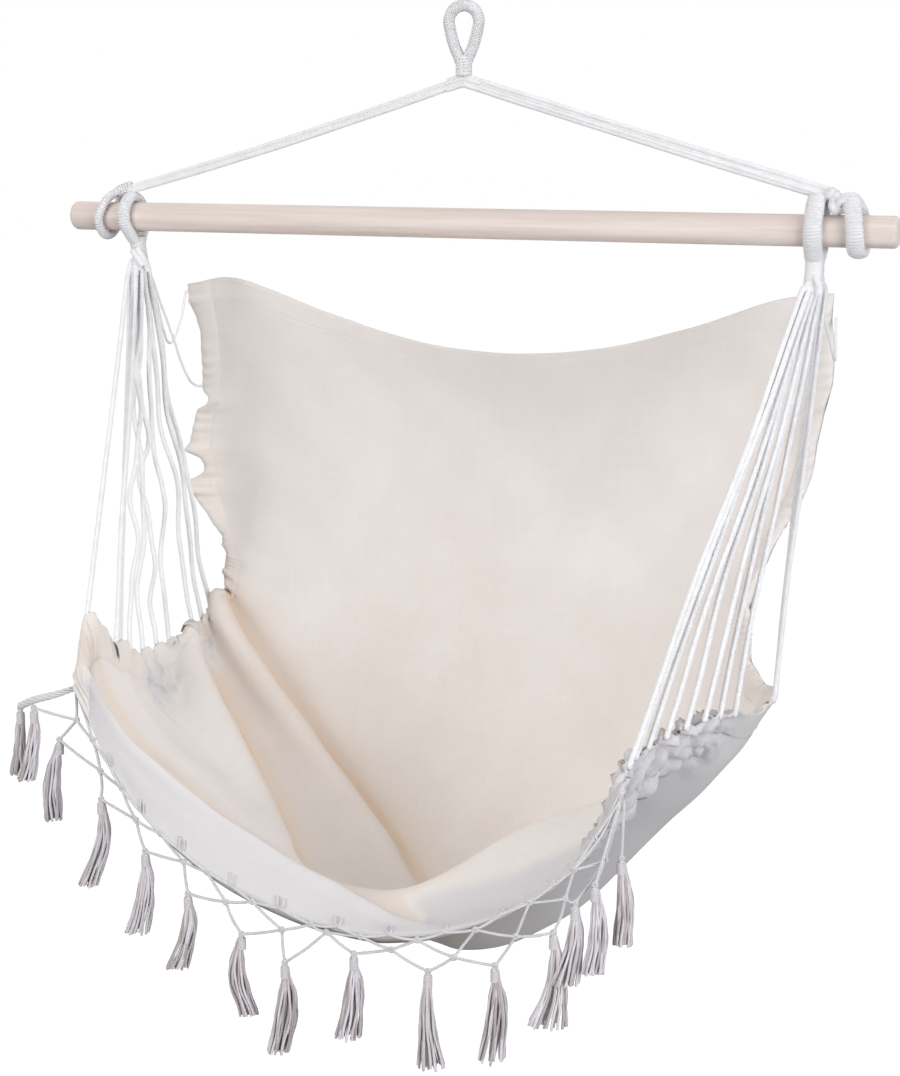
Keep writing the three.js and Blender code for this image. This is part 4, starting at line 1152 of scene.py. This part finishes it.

# The steep back of each fold: its crest, how high it lifts the cloth, how dark the painted shade at its
# foot is, how fast it falls to the front, the place and the width of that painted shade, and two powers
# of how its ends fade.
FOLD_BACKS = [
    (FOLDS[0], 0.017, 1.0, 1.1, 0.50, 0.36, 0.7, 0.7),
    (FOLDS[1], 0.017, 1.0, 1.1, 0.50, 0.36, 0.7, 0.7),
    (FRONT_CREST, 0.011, 0.42, 2.2, 0.85, 0.55, 1.0, 0.5),
]
def drawn_in(side, along):
    """How far a rim draws in at shares of the sling's length, in metres."""
    places, draws = zip(*RIM_DRAW[side])
    return np.interp(along, places, draws) * MILLIMETRE


class HangSling(Operator):
    """Hang the canvas sling with its folded hems"""

    bl_idname = "hammock_chair.sling"
    bl_label = "Sling"

    def execute(self, context):
        sizes = context.scene.chair_sling
        hem = sizes.hem_width / (2 * sizes.half_width)
        inner = hem * (1 - np.cos(np.linspace(0, math.pi / 2, HEM_COLUMNS)))
        middle = np.linspace(hem, 1 - hem, MIDDLE_COLUMNS)
        turned = inner[1:][::-1]
        columns = np.concatenate([turned, inner, middle[1:-1], 1 - inner[::-1], 1 - turned[::-1]])
        folded = np.zeros(len(columns))
        folded[: len(turned)] = 1
        folded[-len(turned):] = 1
        rows = self.rows(sizes.length)
        places, shades = self.dressed(columns, folded, rows, hem, sizes)
        places, shades, rows = self.turned_under(places, shades, columns, rows, sizes)
        piece = self.meshed(places, shades, columns, folded, rows, hem, sizes)
        select([piece])
        modify(piece, "SOLIDIFY", thickness=sizes.thickness, offset=0)
        bpy.ops.object.shade_smooth()
        self.darken_underside(piece, columns, rows, folded)
        settle(piece, "canvas_weave", "canvas", "seat", "sling_canvas")
        return {"FINISHED"}

    def rows(self, length):
        """Shares of the sling's length at which the grid's rows lie."""
        places, steps = zip(*ROW_STEPS)
        rows = [0.0]
        while rows[-1] < 1:
            rows.append(rows[-1] + np.interp(rows[-1], places, steps) * MILLIMETRE / length)
        return np.array(rows) / rows[-1]

    def dressed(self, columns, folded, rows, hem, sizes):
        """Places of the grid, with drawn rims, puckers and the second layer of the hems, and painted
        shades.
        """
        width = 2 * sizes.half_width
        wide, long = np.meshgrid(columns, rows)
        reach = hem * 1.5
        left = drawn_in("left", rows)[:, None] / width * np.clip(1 - wide / reach, 0, 1) ** 1.6
        right = drawn_in("right", rows)[:, None] / width * np.clip(1 - (1 - wide) / reach, 0, 1) ** 1.6
        shifted = wide + left - right
        places = np.array([self.row_places(row, along) for row, along in zip(shifted, rows)])
        outward = self.outward(places)
        steep, shades = self.fold_steps(np.clip(shifted, 0, 1), long)
        places -= outward * steep[..., None]
        outward = self.outward(places)
        # A slight painted shade on the turned layer of the left hem.
        shades = np.maximum(shades, 0.14 * folded[None, :] * (wide < 0.5))
        # A cooler, darker painted tint on cloth that faces away from the sitter in front.
        shades = shades - self.turned_out(wide, long) * np.clip(1 - shades * 5, 0, 1)
        # Painted shade in the creases of the crumpled cloth.
        creases = self.creases(wide, long)
        shades = np.where(shades > 0, shades * np.clip(1 - creases, 0, 1), shades) - creases
        rim = np.clip(np.minimum(wide, 1 - wide) / hem, 0, 1)
        fullness = 0.0035 + 0.0018 * np.sin(long * 71) * np.sin(long * 29 + 1.0)
        for side, start, end in HEM_SLOTS:
            near = wide < 0.5 if side == "left" else wide > 0.5
            away = (long - (start + end) / 2) / (end - start)
            fullness = fullness + near * 0.002 * np.exp(-(away ** 2))
        layer_gap = sizes.thickness * (0.8 - 1.6 * rim ** 6) + fullness * np.sin(np.pi * rim ** 0.6)
        places -= outward * (layer_gap * folded[None, :])[..., None]
        places += outward * self.wrinkles(wide, long, sizes)[..., None]
        return places, shades

    def turned_under(self, places, shades, columns, rows, sizes):
        """The grid with the front hem's lip, three rows that turn back under the edge, with painted
        shade on them.
        """
        reach = np.interp(columns, (0, 0.15, 0.3, 0.55, 0.7, 1), (3, 8, 22, 22, 8, 4)) * MILLIMETRE
        # Painted shade on the lip, deepest in the middle of the edge.
        dark = np.interp(columns, (0.05, 0.25, 0.6, 0.75), (0.3, 1.3, 1.3, 0.4))
        lips = []
        darks = []
        for back, down, depth in ((0.02, 0.18, -0.8), (0.25, 0.50, -1.35), (0.62, 0.80, -1.35)):
            lip = places[-1].copy()
            lip[:, 1] += reach * back
            lip[:, 2] -= reach * down
            lips.append(lip)
            darks.append(dark * depth)
        below = 1 + np.array([0.25, 0.6, 1.0]) * 0.012 / sizes.length
        pairs = ((places, lips), (shades, darks), (rows, below))
        return tuple(np.concatenate(pair) for pair in pairs)

    def darken_underside(self, piece, columns, rows, folded):
        """Paints a cooler shade on the side away from the sitter, and a deeper painted shade under the
        front edge.
        """
        mesh = piece.data
        count = len(mesh.vertices)
        normals = np.empty(count * 3)
        mesh.vertices.foreach_get("normal", normals)
        upward = normals.reshape(-1, 3)[:, 2]
        layer, place = np.divmod(np.arange(count), len(columns) * len(rows))
        j, i = np.divmod(place, len(columns))
        seat = (rows[j] > 0.5) & (rows[j] < 0.8) & (folded[i] == 0)
        under = 1 if upward[seat & (layer == 1)].mean() < 0 else 0
        outer = (layer == under) & (folded[i] == 0) & (rows[j] <= 1)
        # Where the painted shade under the front edge is deepest.
        near = np.exp(-(((rows[j] - 0.86) / 0.22) ** 4)) * np.exp(-(((columns[i] - 0.46) / 0.26) ** 2))
        values = np.empty(count)
        foot = mesh.attributes["painted_shade"].data
        foot.foreach_get("value", values)
        # Painted shade: cooler on the whole outer side, darker where it faces down and under the front
        # edge.
        grey = np.where(upward < 0, 1.15 * near, 0)
        cooled = np.minimum(values, -0.35 - np.clip(-upward, 0, 0.25) - grey)
        foot.foreach_set("value", np.where(outer, cooled, values))

    def row_places(self, across, along):
        """Places of one row, which runs on straight where it goes past the rims."""
        near = 0.03
        row = sling_grid(np.clip(across, 0, 1), np.array([along]))[0]
        ends = sling_grid(np.array([0, near, 1 - near, 1.0]), np.array([along]))[0]
        under = np.minimum(across, 0)[:, None] / near
        beyond = np.maximum(across - 1, 0)[:, None] / near
        return row + (ends[1] - ends[0]) * under + (ends[3] - ends[2]) * beyond

    def outward(self, places):
        """The way out of the grid at each place, away from the sitter."""
        across = np.cross(np.gradient(places, axis=1), np.gradient(places, axis=0))
        wrong = (across * [0, 0.4, -1]).sum(axis=2) < 0
        across[wrong] *= -1
        return across / np.maximum(np.linalg.norm(across, axis=2), 1e-9)[..., None]

    def fold_steps(self, across, along):
        """The steep back of each fold, as a lift towards the sitter, and the painted shade at its foot.
        """
        lift = np.zeros(across.shape)
        shades = np.zeros(across.shape)
        for crest, high, dark, front, near, width, late, soft in FOLD_BACKS:
            away, share = beside_fold(crest, across, along)
            fade = np.sin(np.pi * share ** late) ** soft
            steep = np.where(away < 0, np.exp(-((away * 4.5) ** 2)), np.exp(-((away * front) ** 2)))
            lift += high * fade * steep
            foot = np.exp(-(((away + near) / width) ** 2)) + 0.42 * np.exp(-(((away + 1.1) / 0.9) ** 2))
            shades = np.maximum(shades, dark * np.sqrt(fade) * np.minimum(foot, 1))
        return lift, shades

    def wrinkles(self, wide, long, sizes):
        """Gathers along the hems, puckers that run in from the cords, and slight unevenness."""
        height = np.zeros(wide.shape)
        from_rim = np.minimum(wide, 1 - wide) * 2 * sizes.half_width
        gathers = np.sin(2 * np.pi * (long * sizes.length / GATHER_PITCH + 0.35 * np.sin(long * 47)))
        gathers *= 0.6 + 0.4 * np.sin(long * 83 + 40 * from_rim)
        height += GATHER_HEIGHT * gathers * np.exp(-((from_rim / GATHER_REACH) ** 4))
        for side, cords in self.holds().items():
            here = (wide < 0.5) if side == "left" else (wide >= 0.5)
            for number, at in enumerate(cords):
                spread = 0.007 + 0.085 * from_rim
                bend = at + 0.02 * from_rim * math.sin(number * 1.7)
                away = (long - bend) / spread
                deep = PUCKER_DEPTH + 0.0018 * math.sin(number * 2.3)
                height -= here * deep * np.exp(-(away ** 2)) * np.exp(-from_rim / PUCKER_REACH)
        height += self.crumple(wide, long)
        height += 0.0016 * np.sin(wide * 23 + 3 * long) * np.sin(long * 31 + 4 * wide)
        height += 0.0008 * np.sin(wide * 61 - 9 * long + 1.7) * np.sin(long * 53 + 11 * wide)
        return height

    def crumpled(self, wide, long):
        """Shares of crumpling at the right and left ends of the front edge, and the folds there."""
        right = np.clip((wide - 0.825) / 0.05, 0, 1) * np.clip((long - 0.73) / 0.06, 0, 1)
        right *= np.clip((1.0 - long) / 0.12, 0, 1)
        left = np.exp(-(((wide - 0.068) / 0.050) ** 2) - ((long - 0.705) / 0.040) ** 2)
        left += 0.6 * np.exp(-(((wide - 0.075) / 0.036) ** 2) - ((long - 0.573) / 0.026) ** 2)
        x = wide * CLOTH_WIDTH
        y = long * CLOTH_LENGTH
        bent = y + 0.015 * np.sin(62 * x + 1.0) + 0.006 * np.sin(131 * x)
        x, y = x + 0.012 * np.sin(70 * y + 2.0), bent
        folds = np.abs(np.sin(72 * x + 44 * y)) + 0.9 * np.abs(np.sin(98 * y - 42 * x + 0.7))
        folds += 0.4 * np.abs(np.sin(190 * x + 125 * y + 2.1))
        return right, left, folds

    def crumple(self, wide, long):
        """The height of the crumpled cloth."""
        right, left, folds = self.crumpled(wide, long)
        return (CRUMPLE_RIGHT * right + CRUMPLE_LEFT * left) * (folds - 1.3)

    def creases(self, wide, long):
        """The painted shade between the crumpled folds."""
        right, left, folds = self.crumpled(wide, long)
        deep = np.clip((1.25 - folds) / 0.8, 0, 1)
        return right * deep + left * (1.0 + 0.8 * deep)

    def turned_out(self, wide, long):
        """1 on the cloth that faces away from the sitter in front, which gets a cooler, darker painted
        tint.
        """
        front = np.clip((long - np.interp(wide, *zip(*FRONT_TURN))) / 0.022, 0, 1)
        corner = np.clip((wide - 0.83) / 0.05, 0, 1) * np.clip((long - 0.70) / 0.05, 0, 1)
        return np.maximum(front, corner)

    def holds(self):
        """Shares along each rim at which cords draw the cloth."""
        found = {
            "left": [0.02, 0.135, 0.17, 0.196, 0.243, 0.36, 0.41, 0.44, 0.49],
            "right": [0.02, 0.12, 0.22, 0.36, 0.46, 0.54, 0.60, 0.66],
        }
        for name, _, _, along, *_ in SINGLE_CORDS + BUNDLES:
            found[side_of(name)].append(along)
        return found

    def open_here(self, side, from_rim, along):
        """Whether the turned layer of a hem is open there, where a cord comes out."""
        return from_rim < 0.62 and any(
            side == slot_side and start < along < end for slot_side, start, end in HEM_SLOTS
        )

    def meshed(self, places, shades, columns, folded, rows, hem, sizes):
        """The cloth's mesh, with its flat places as the UV map and its painted shades as an attribute.
        """
        count = len(columns)
        mesh = bpy.data.meshes.new("sling_cloth")
        faces = []
        for j in range(len(rows) - 1):
            for i in range(count - 1):
                side = "left" if i < count / 2 else "right"
                from_rim = min(columns[i], 1 - columns[i]) / hem
                if folded[i] and folded[i + 1] and self.open_here(side, from_rim, rows[j]):
                    continue
                a = j * count + i
                faces.append((a, a + 1, a + count + 1, a + count))
        mesh.from_pydata([tuple(p) for p in places.reshape(-1, 3)], [], faces)
        width = 2 * sizes.half_width
        flat = np.where(folded > 0, -columns, columns) * width + sizes.hem_width
        flat = np.where((folded > 0) & (columns > 0.5), (2 - columns) * width + sizes.hem_width, flat)
        layer = mesh.uv_layers.new(name="UVMap")
        corners = np.empty(len(mesh.loops), dtype=int)
        mesh.loops.foreach_get("vertex_index", corners)
        j, i = np.divmod(corners, count)
        layer.data.foreach_set("uv", np.stack([flat[i], rows[j] * sizes.length], axis=1).ravel())
        foot = mesh.attributes.new("painted_shade", "FLOAT", "POINT")
        foot.data.foreach_set("value", np.asarray(shades).ravel())
        return put_in_scene("sling_cloth", mesh)


# The net's knots from left to right, by share of the front edge and drop below it in millimetres:
# those under the edge, from the third tassel on, and those that hang between the tassels, from the
# second on. Then the shares of the edge at which the stitches lie.
EDGE_KNOTS = [
    (0.072, 12), (0.174, 4), (0.266, 3), (0.340, 3.5), (0.402, 7), (0.473, 7.5), (0.535, 7.5),
    (0.608, 6.5), (0.687, 7.5), (0.768, 4), (0.850, 3),
]
HUNG_KNOTS = [
    (0.0, 37), (0.101, 29), (0.213, 18), (0.305, 12), (0.366, 24), (0.438, 25), (0.492, 11),
    (0.574, 18), (0.657, 31), (0.746, 33), (0.833, 26), (0.935, 35),
]
STITCHES = [0.136, 0.227, 0.301, 0.375, 0.436, 0.506, 0.571, 0.645, 0.725, 0.809, 0.907]


class KnotFringeNet(Operator):
    """Knot the net under the front edge, with its stitches through the hem"""

    bl_idname = "hammock_chair.fringe_net"
    bl_label = "Fringe Net"

    def execute(self, context):
        twine = context.scene.chair_ropes.net_twine
        chance = random.Random(5)
        edge = {n: self.under_edge(*place) for n, place in enumerate(EDGE_KNOTS, start=2)}
        hung = {n: self.under_edge(*place) for n, place in enumerate(HUNG_KNOTS, start=1)}
        tied = {n: self.under_edge(share, 1.5) for n, share in enumerate(STITCHES, start=2)}
        low = {n: tassel_top(n) + Vector((0, 0, 0.002)) for n in range(TASSELS)}
        left, right = self.under_edge(0, 2), self.under_edge(0.99, 2)
        links = [(left, hung[1]), (left, edge[2]), (right, edge[12]), (right, hung[12])]
        links += [(right, low[13]), (right + Vector((0.004, 0, 0)), low[14])]
        for n in hung:
            links += [(hung[n], low[n]), (hung[n], low[n + 1])]
            links += [(edge[k], hung[n]) for k in (n, n + 1) if k in edge]
        for n in tied:
            links += [(edge[k], tied[n]) for k in (n, n + 1) if k in edge]
        lines = []
        for a, b in links:
            sag = Vector((chance.uniform(-1, 1) * 0.0012, chance.uniform(-1, 1) * 0.001, -0.001))
            line = smooth_line([a, a.lerp(b, 0.5) + sag, b], 0.0016)
            lines.extend(twisted(line, 2, twine * 0.2, 0.007, start=chance.uniform(0, 6)))
        radii = [twine * 0.31] * len(lines)
        stitches = [line for share in STITCHES for line in self.stitch(share)]
        radii = [twine * 0.31] * len(lines) + [0.0009] * len(stitches)
        net = cords_from("fringe_net_twine", lines + stitches, radii, sides=1)
        knots = [*edge.values(), *hung.values(), *low.values()]
        balls = [self.ball(place, twine, chance) for place in knots]
        whole = joined("fringe_net_knotted", [net, self.free_end(), *balls])
        bpy.ops.object.shade_smooth()
        settle(whole, "net_twine", "cotton_rope", "seat", "fringe_net")
        return {"FINISHED"}

    def under_edge(self, share, drop):
        """A place just before the front edge, by its share and its drop in millimetres."""
        return sling_place(share, 1) + Vector((0, -0.001, -drop * MILLIMETRE))

    def stitch(self, share):
        """Two threads from the edge into the hem."""
        found = []
        for aside in (-0.0022, 0.0022):
            across = min(max(share + aside / 0.6, 0), 1)
            points = [self.under_edge(share, 1.5)]
            for back in (-0.001, 0.006, 0.013, 0.020, 0.022):
                along = min(1, 1 - back / CLOTH_LENGTH)
                lift = -0.002 if back > 0.021 else 0.0022
                points.append(sling_place(across, along) - sling_out(across, along) * lift)
            found.append(smooth_line(points, 0.002))
        return found

    def ball(self, place, twine, chance):
        """A knot, drawn as a small closed ring."""
        return primitive(
            bpy.ops.mesh.primitive_torus_add, location=place,
            rotation=(math.pi / 2, chance.uniform(-0.6, 0.6), 0),
            major_radius=twine * 0.55, minor_radius=twine * 0.52, major_segments=10, minor_segments=8,
        )

    def free_end(self):
        """The twisted bundle of twines past the left end of the edge."""
        corner = sling_place(0, 1)
        first = tassel_top(0)
        second = tassel_top(1)
        crossing = corner.lerp(second, 0.45) + Vector((0, 0, 0.004))
        points = [corner, crossing, second + Vector((0, 0, 0.011)), first + Vector((0, 0, 0.005))]
        line = smooth_line(points, 0.002)
        lines = twisted(line, 5, 0.0024, 0.040)
        thick = [0.0009 + 0.0011 * min(1, k / len(line) * 2.2) for k in range(len(line))]
        return cords_from("fringe_free_end", lines, [thick] * len(lines), sides=1)


# Shapes of the tassels, in millimetres: how far each is raised, its length, its lean to the right at
# the bottom, its bow, and half its width at the middle and at the bottom.
TASSEL_SHAPES = [
    (6, 76, -5, 0, 5.5, 9), (8, 84, -11, 2, 6.5, 9), (-6, 94, -13, -5, 9, 9.5),
    (2, 100, -15, 6, 8, 10.5), (8, 94, -10, 3, 9, 12.5), (6, 85, -12, 4, 8.5, 11.5),
    (2, 92, 3, -7, 9, 9.5), (-2, 102, -7, 4, 11.5, 11), (3, 94, -6, 2, 10, 13),
    (4, 106, 2, -2, 7.5, 14), (3, 104, -2, 3, 10.5, 14), (6, 100, -3, 5, 10, 20),
    (8, 86, -8, 3, 8.5, 14), (6, 94, 1, 4, 8.5, 10.5), (0, 92, 4, 3, 8, 9),
]
# The tassel, counted from 0, whose strands part into clusters.
SPLIT_TASSEL = 10
# The ways to the right and into depth for someone who looks at the chair from its right front.
SIGHT_RIGHT = Vector((0.926, 0.377, 0))
SIGHT_DEEP = Vector((-0.377, 0.926, 0))


def tassel_top(number):
    """Where a tassel, counted from 0, hangs from the net."""
    low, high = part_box(f"tassel_{number + 1:02d}")
    raised = TASSEL_SHAPES[number][0] * MILLIMETRE
    return Vector(((low.x + high.x) / 2, (low.y + high.y) / 2, high.z + raised))


# Where a tassel's half widths are given, the points along a strand, and the collar round its head.
WIDTH_SHARES = (0, 0.04, 0.16, 0.30, 0.55, 0.8, 1)
STRAND_SHARES = (0, 0.03, 0.07, 0.13, 0.20, 0.30, 0.42, 0.54, 0.66, 0.78, 0.9, 1.0)
COLLAR_DROPS = (0.003, 0.015)
COLLAR_RADIUS = 0.0049
COLLAR_TWINE = 0.0018


class HangTassels(Operator):
    """Bind and hang the tassels"""

    bl_idname = "hammock_chair.tassels"
    bl_label = "Tassels"

    def execute(self, context):
        sizes = context.scene.chair_tassels
        for k, shape in enumerate(TASSEL_SHAPES):
            self.tassel(k, shape, sizes, random.Random(100 + k))
        return {"FINISHED"}

    def tassel(self, number, shape, sizes, chance):
        """One tassel: its strands, its collar and their tones."""
        name = f"tassel_{number + 1:02d}"
        top = tassel_top(number)
        _, length, lean, bow, middle, bottom = (value * MILLIMETRE for value in shape)
        widths = (0.001, 0.0036, 0.0036, middle * 0.72, middle, (middle + bottom) / 2, bottom)
        lines = []
        tones = []
        for s in range(sizes.strands):
            ring = 0.42 if s < sizes.strands // 4 else 1.0
            turn = 2 * math.pi * s * 0.618 + chance.uniform(-0.2, 0.2)
            u, v = ring * math.cos(turn), ring * math.sin(turn)
            cluster = round(u * 1.3) / 1.3
            reach = length * chance.uniform(0.955, 1.0)
            wiggle = chance.uniform(0.0003, 0.0010)
            phase = chance.uniform(0, 6)
            points = []
            for share in STRAND_SHARES:
                half = np.interp(share, WIDTH_SHARES, widths)
                aside = u
                if number == SPLIT_TASSEL:
                    aside = u + (cluster * 1.05 + (u - cluster) * 0.45 - u) * max(0, share - 0.35) * 1.5
                sway = lean * share ** 1.4 + bow * math.sin(math.pi * share * 1.15)
                stray = wiggle * math.sin(share * 11 + phase) * min(1, share * 3)
                point = top + SIGHT_RIGHT * (aside * half + sway + stray)
                point += SIGHT_DEEP * (v * half * 0.7 + stray) + Vector((0, 0, -share * reach))
                points.append(point)
            lines.append(smooth_line(points, 0.0045))
            tones.append(chance.random())
        count = min(len(line) for line in lines)
        lines = [
            [line[round(k * (len(line) - 1) / (count - 1))] for k in range(count)] for line in lines
        ]
        radii = [[sizes.strand_radius * (0.7 if k < 4 else 1.0) for k in range(count)]] * len(lines)
        strands = cords_from(name + "_strands", lines, radii, sides=1)
        self.tone(strands, tones)
        bound = [top - Vector((0, 0, drop)) for drop in COLLAR_DROPS]
        collar = served(name + "_collar", bound, COLLAR_RADIUS, COLLAR_TWINE)
        self.tone(collar, [0.6])
        whole = joined(name + "_strands", [strands, collar])
        settle(whole, "tassel_cotton", "fringe_cotton", name, name)

    def tone(self, piece, tones):
        """Gives each strand's points one value, from 0 for a dark strand to 1 for a pale one."""
        values = piece.data.attributes.new("strand_tone", "FLOAT", "POINT")
        each = max(1, len(piece.data.vertices) // len(tones))
        for k, item in enumerate(values.data):
            item.value = tones[min(k // each, len(tones) - 1)]


class DressFrame(Operator):
    """Give the solids that still show their finishes"""

    bl_idname = "hammock_chair.frame_finishes"
    bl_label = "Frame Finishes"

    def execute(self, context):
        for name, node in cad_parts.items():
            finish = "birch_wood" if name == "spreader_bar" else "cotton_twine"
            node.data.materials.clear()
            node.data.materials.append(finish_named(finish))
        return {"FINISHED"}


class SetStudio(Operator):
    """Set up the floor, the backdrop, the lamps and the camera"""

    bl_idname = "hammock_chair.studio"
    bl_label = "Studio"

    def execute(self, context):
        scene = context.scene
        scene.view_settings.view_transform = "Standard"
        self.camera(scene)
        self.lamps(scene.chair_lights)
        self.world(scene)
        self.floor()
        return {"FINISHED"}

    def camera(self, scene):
        data = bpy.data.cameras.new("camera")
        data.lens = 67.2
        data.sensor_width = 36.0
        camera = put_in_scene("camera", data)
        camera.location = (0.8506, -2.1325, -0.115)
        camera.rotation_euler = (math.radians(90 - 11.82), 0, math.radians(22.13))
        scene.camera = camera

    def lamps(self, lights):
        aim = Vector((-0.01, -0.05, -0.65))
        for name, place, width, power, colour in (
            ("key_lamp", (-1.3, -2.8, 0.15), 1.8, lights.key, (1, 1, 1)),
            ("top_lamp", (0.1, -0.3, 1.5), 2.0, lights.top, (1, 1, 1)),
            ("fill_lamp", (2.6, -1.5, -0.5), 1.8, lights.fill, (0.93, 0.96, 1.0)),
        ):
            data = bpy.data.lights.new(name, "AREA")
            data.size = width
            data.energy = power
            data.color = colour
            lamp = put_in_scene(name, data)
            lamp.location = place
            lamp.rotation_euler = (aim - Vector(place)).to_track_quat("-Z", "Y").to_euler()

    def plain(self, nodes, kind, grey):
        """A shader of one colour."""
        return nodes.node(kind, values={"Color": (*grey, 1)})

    def shown(self, nodes, lit, seen):
        """The shader that lights the chair, and the one for rays that show the background itself."""
        rays = [
            nodes.node("ShaderNodeLightPath", output=f"Is {kind} Ray")
            for kind in ("Camera", "Glossy", "Transmission")
        ]
        share = nodes.maths("MAXIMUM", nodes.maths("MAXIMUM", rays[0], rays[1]), rays[2])
        return nodes.node("ShaderNodeMixShader", values={0: share, 1: lit, 2: seen})

    def world(self, scene):
        """White to the camera, but for the chair a sky that is dark below and bright above."""
        scene.world = bpy.data.worlds.new("studio")
        nodes = Nodes(scene.world)
        nodes.tree.nodes.clear()
        up = nodes.split(nodes.node("ShaderNodeTexCoord", output="Generated"))[2]
        height = nodes.node(
            "ShaderNodeMapRange", values={"Value": up, "From Min": -0.6, "From Max": 0.3}
        )
        sky = nodes.mixed(height, (0.05, 0.047, 0.047, 1), (1, 1, 1, 1))
        soft = nodes.node("ShaderNodeBackground", values={"Color": sky, "Strength": 0.50})
        white = self.plain(nodes, "ShaderNodeBackground", (1, 1, 1))
        nodes.node("ShaderNodeOutputWorld", values={0: self.shown(nodes, soft, white)})

    def floor(self):
        deselect()
        bpy.ops.mesh.primitive_plane_add(size=40, location=(0, 0, FLOOR_HEIGHT))
        floor = bpy.context.active_object
        floor.name = "floor"
        material = bpy.data.materials.new("floor_paper")
        nodes = Nodes(material)
        nodes.tree.nodes.clear()
        paper = self.plain(nodes, "ShaderNodeBsdfDiffuse", (0.15, 0.147, 0.147))
        pale = self.plain(nodes, "ShaderNodeBsdfDiffuse", (0.3, 0.3, 0.3))
        glow = self.plain(nodes, "ShaderNodeEmission", (0.88, 0.88, 0.88))
        bright = nodes.node("ShaderNodeAddShader", values={0: pale, 1: glow})
        nodes.node("ShaderNodeOutputMaterial", values={0: self.shown(nodes, paper, bright)})
        floor.data.materials.append(material)


class ChairPanel(Panel):
    """Buttons and sizes of the hammock chair"""

    bl_idname = "VIEW3D_PT_hammock_chair"
    bl_label = "Hammock Chair"
    bl_space_type = "VIEW_3D"
    bl_region_type = "UI"
    bl_category = "Hammock Chair"

    def draw(self, context):
        for builder in BUILDERS:
            self.layout.operator(builder.bl_idname)
        for group in SETTINGS:
            box = self.layout.box()
            for name in SETTINGS[group].__annotations__:
                box.prop(getattr(context.scene, group), name)


BUILDERS = (
    SetStudio, HangLacingCords, LayHeldCords, HangSling, BuildHangingEye, BuildBridle, BuildEndLoops,
    BuildSpreaderBar, BuildSeatLoops, KnotFringeNet, HangTassels, DressFrame,
)
SETTINGS = {
    "chair_ropes": RopeSizes,
    "chair_sling": SlingSizes,
    "chair_tassels": TasselSizes,
    "chair_colours": FinishColours,
    "chair_lights": StudioLights,
}


def register():
    for name, group in SETTINGS.items():
        bpy.utils.register_class(group)
        setattr(bpy.types.Scene, name, PointerProperty(type=group))
    for builder in (*BUILDERS, ChairPanel):
        bpy.utils.register_class(builder)


def unregister():
    for builder in reversed((*BUILDERS, ChairPanel)):
        bpy.utils.unregister_class(builder)
    for name, group in SETTINGS.items():
        delattr(bpy.types.Scene, name)
        bpy.utils.unregister_class(group)


def main():
    register()
    for builder in BUILDERS:
        group, name = builder.bl_idname.split(".")
        getattr(getattr(bpy.ops, group), name)()


if __name__ == "__main__":
    main()
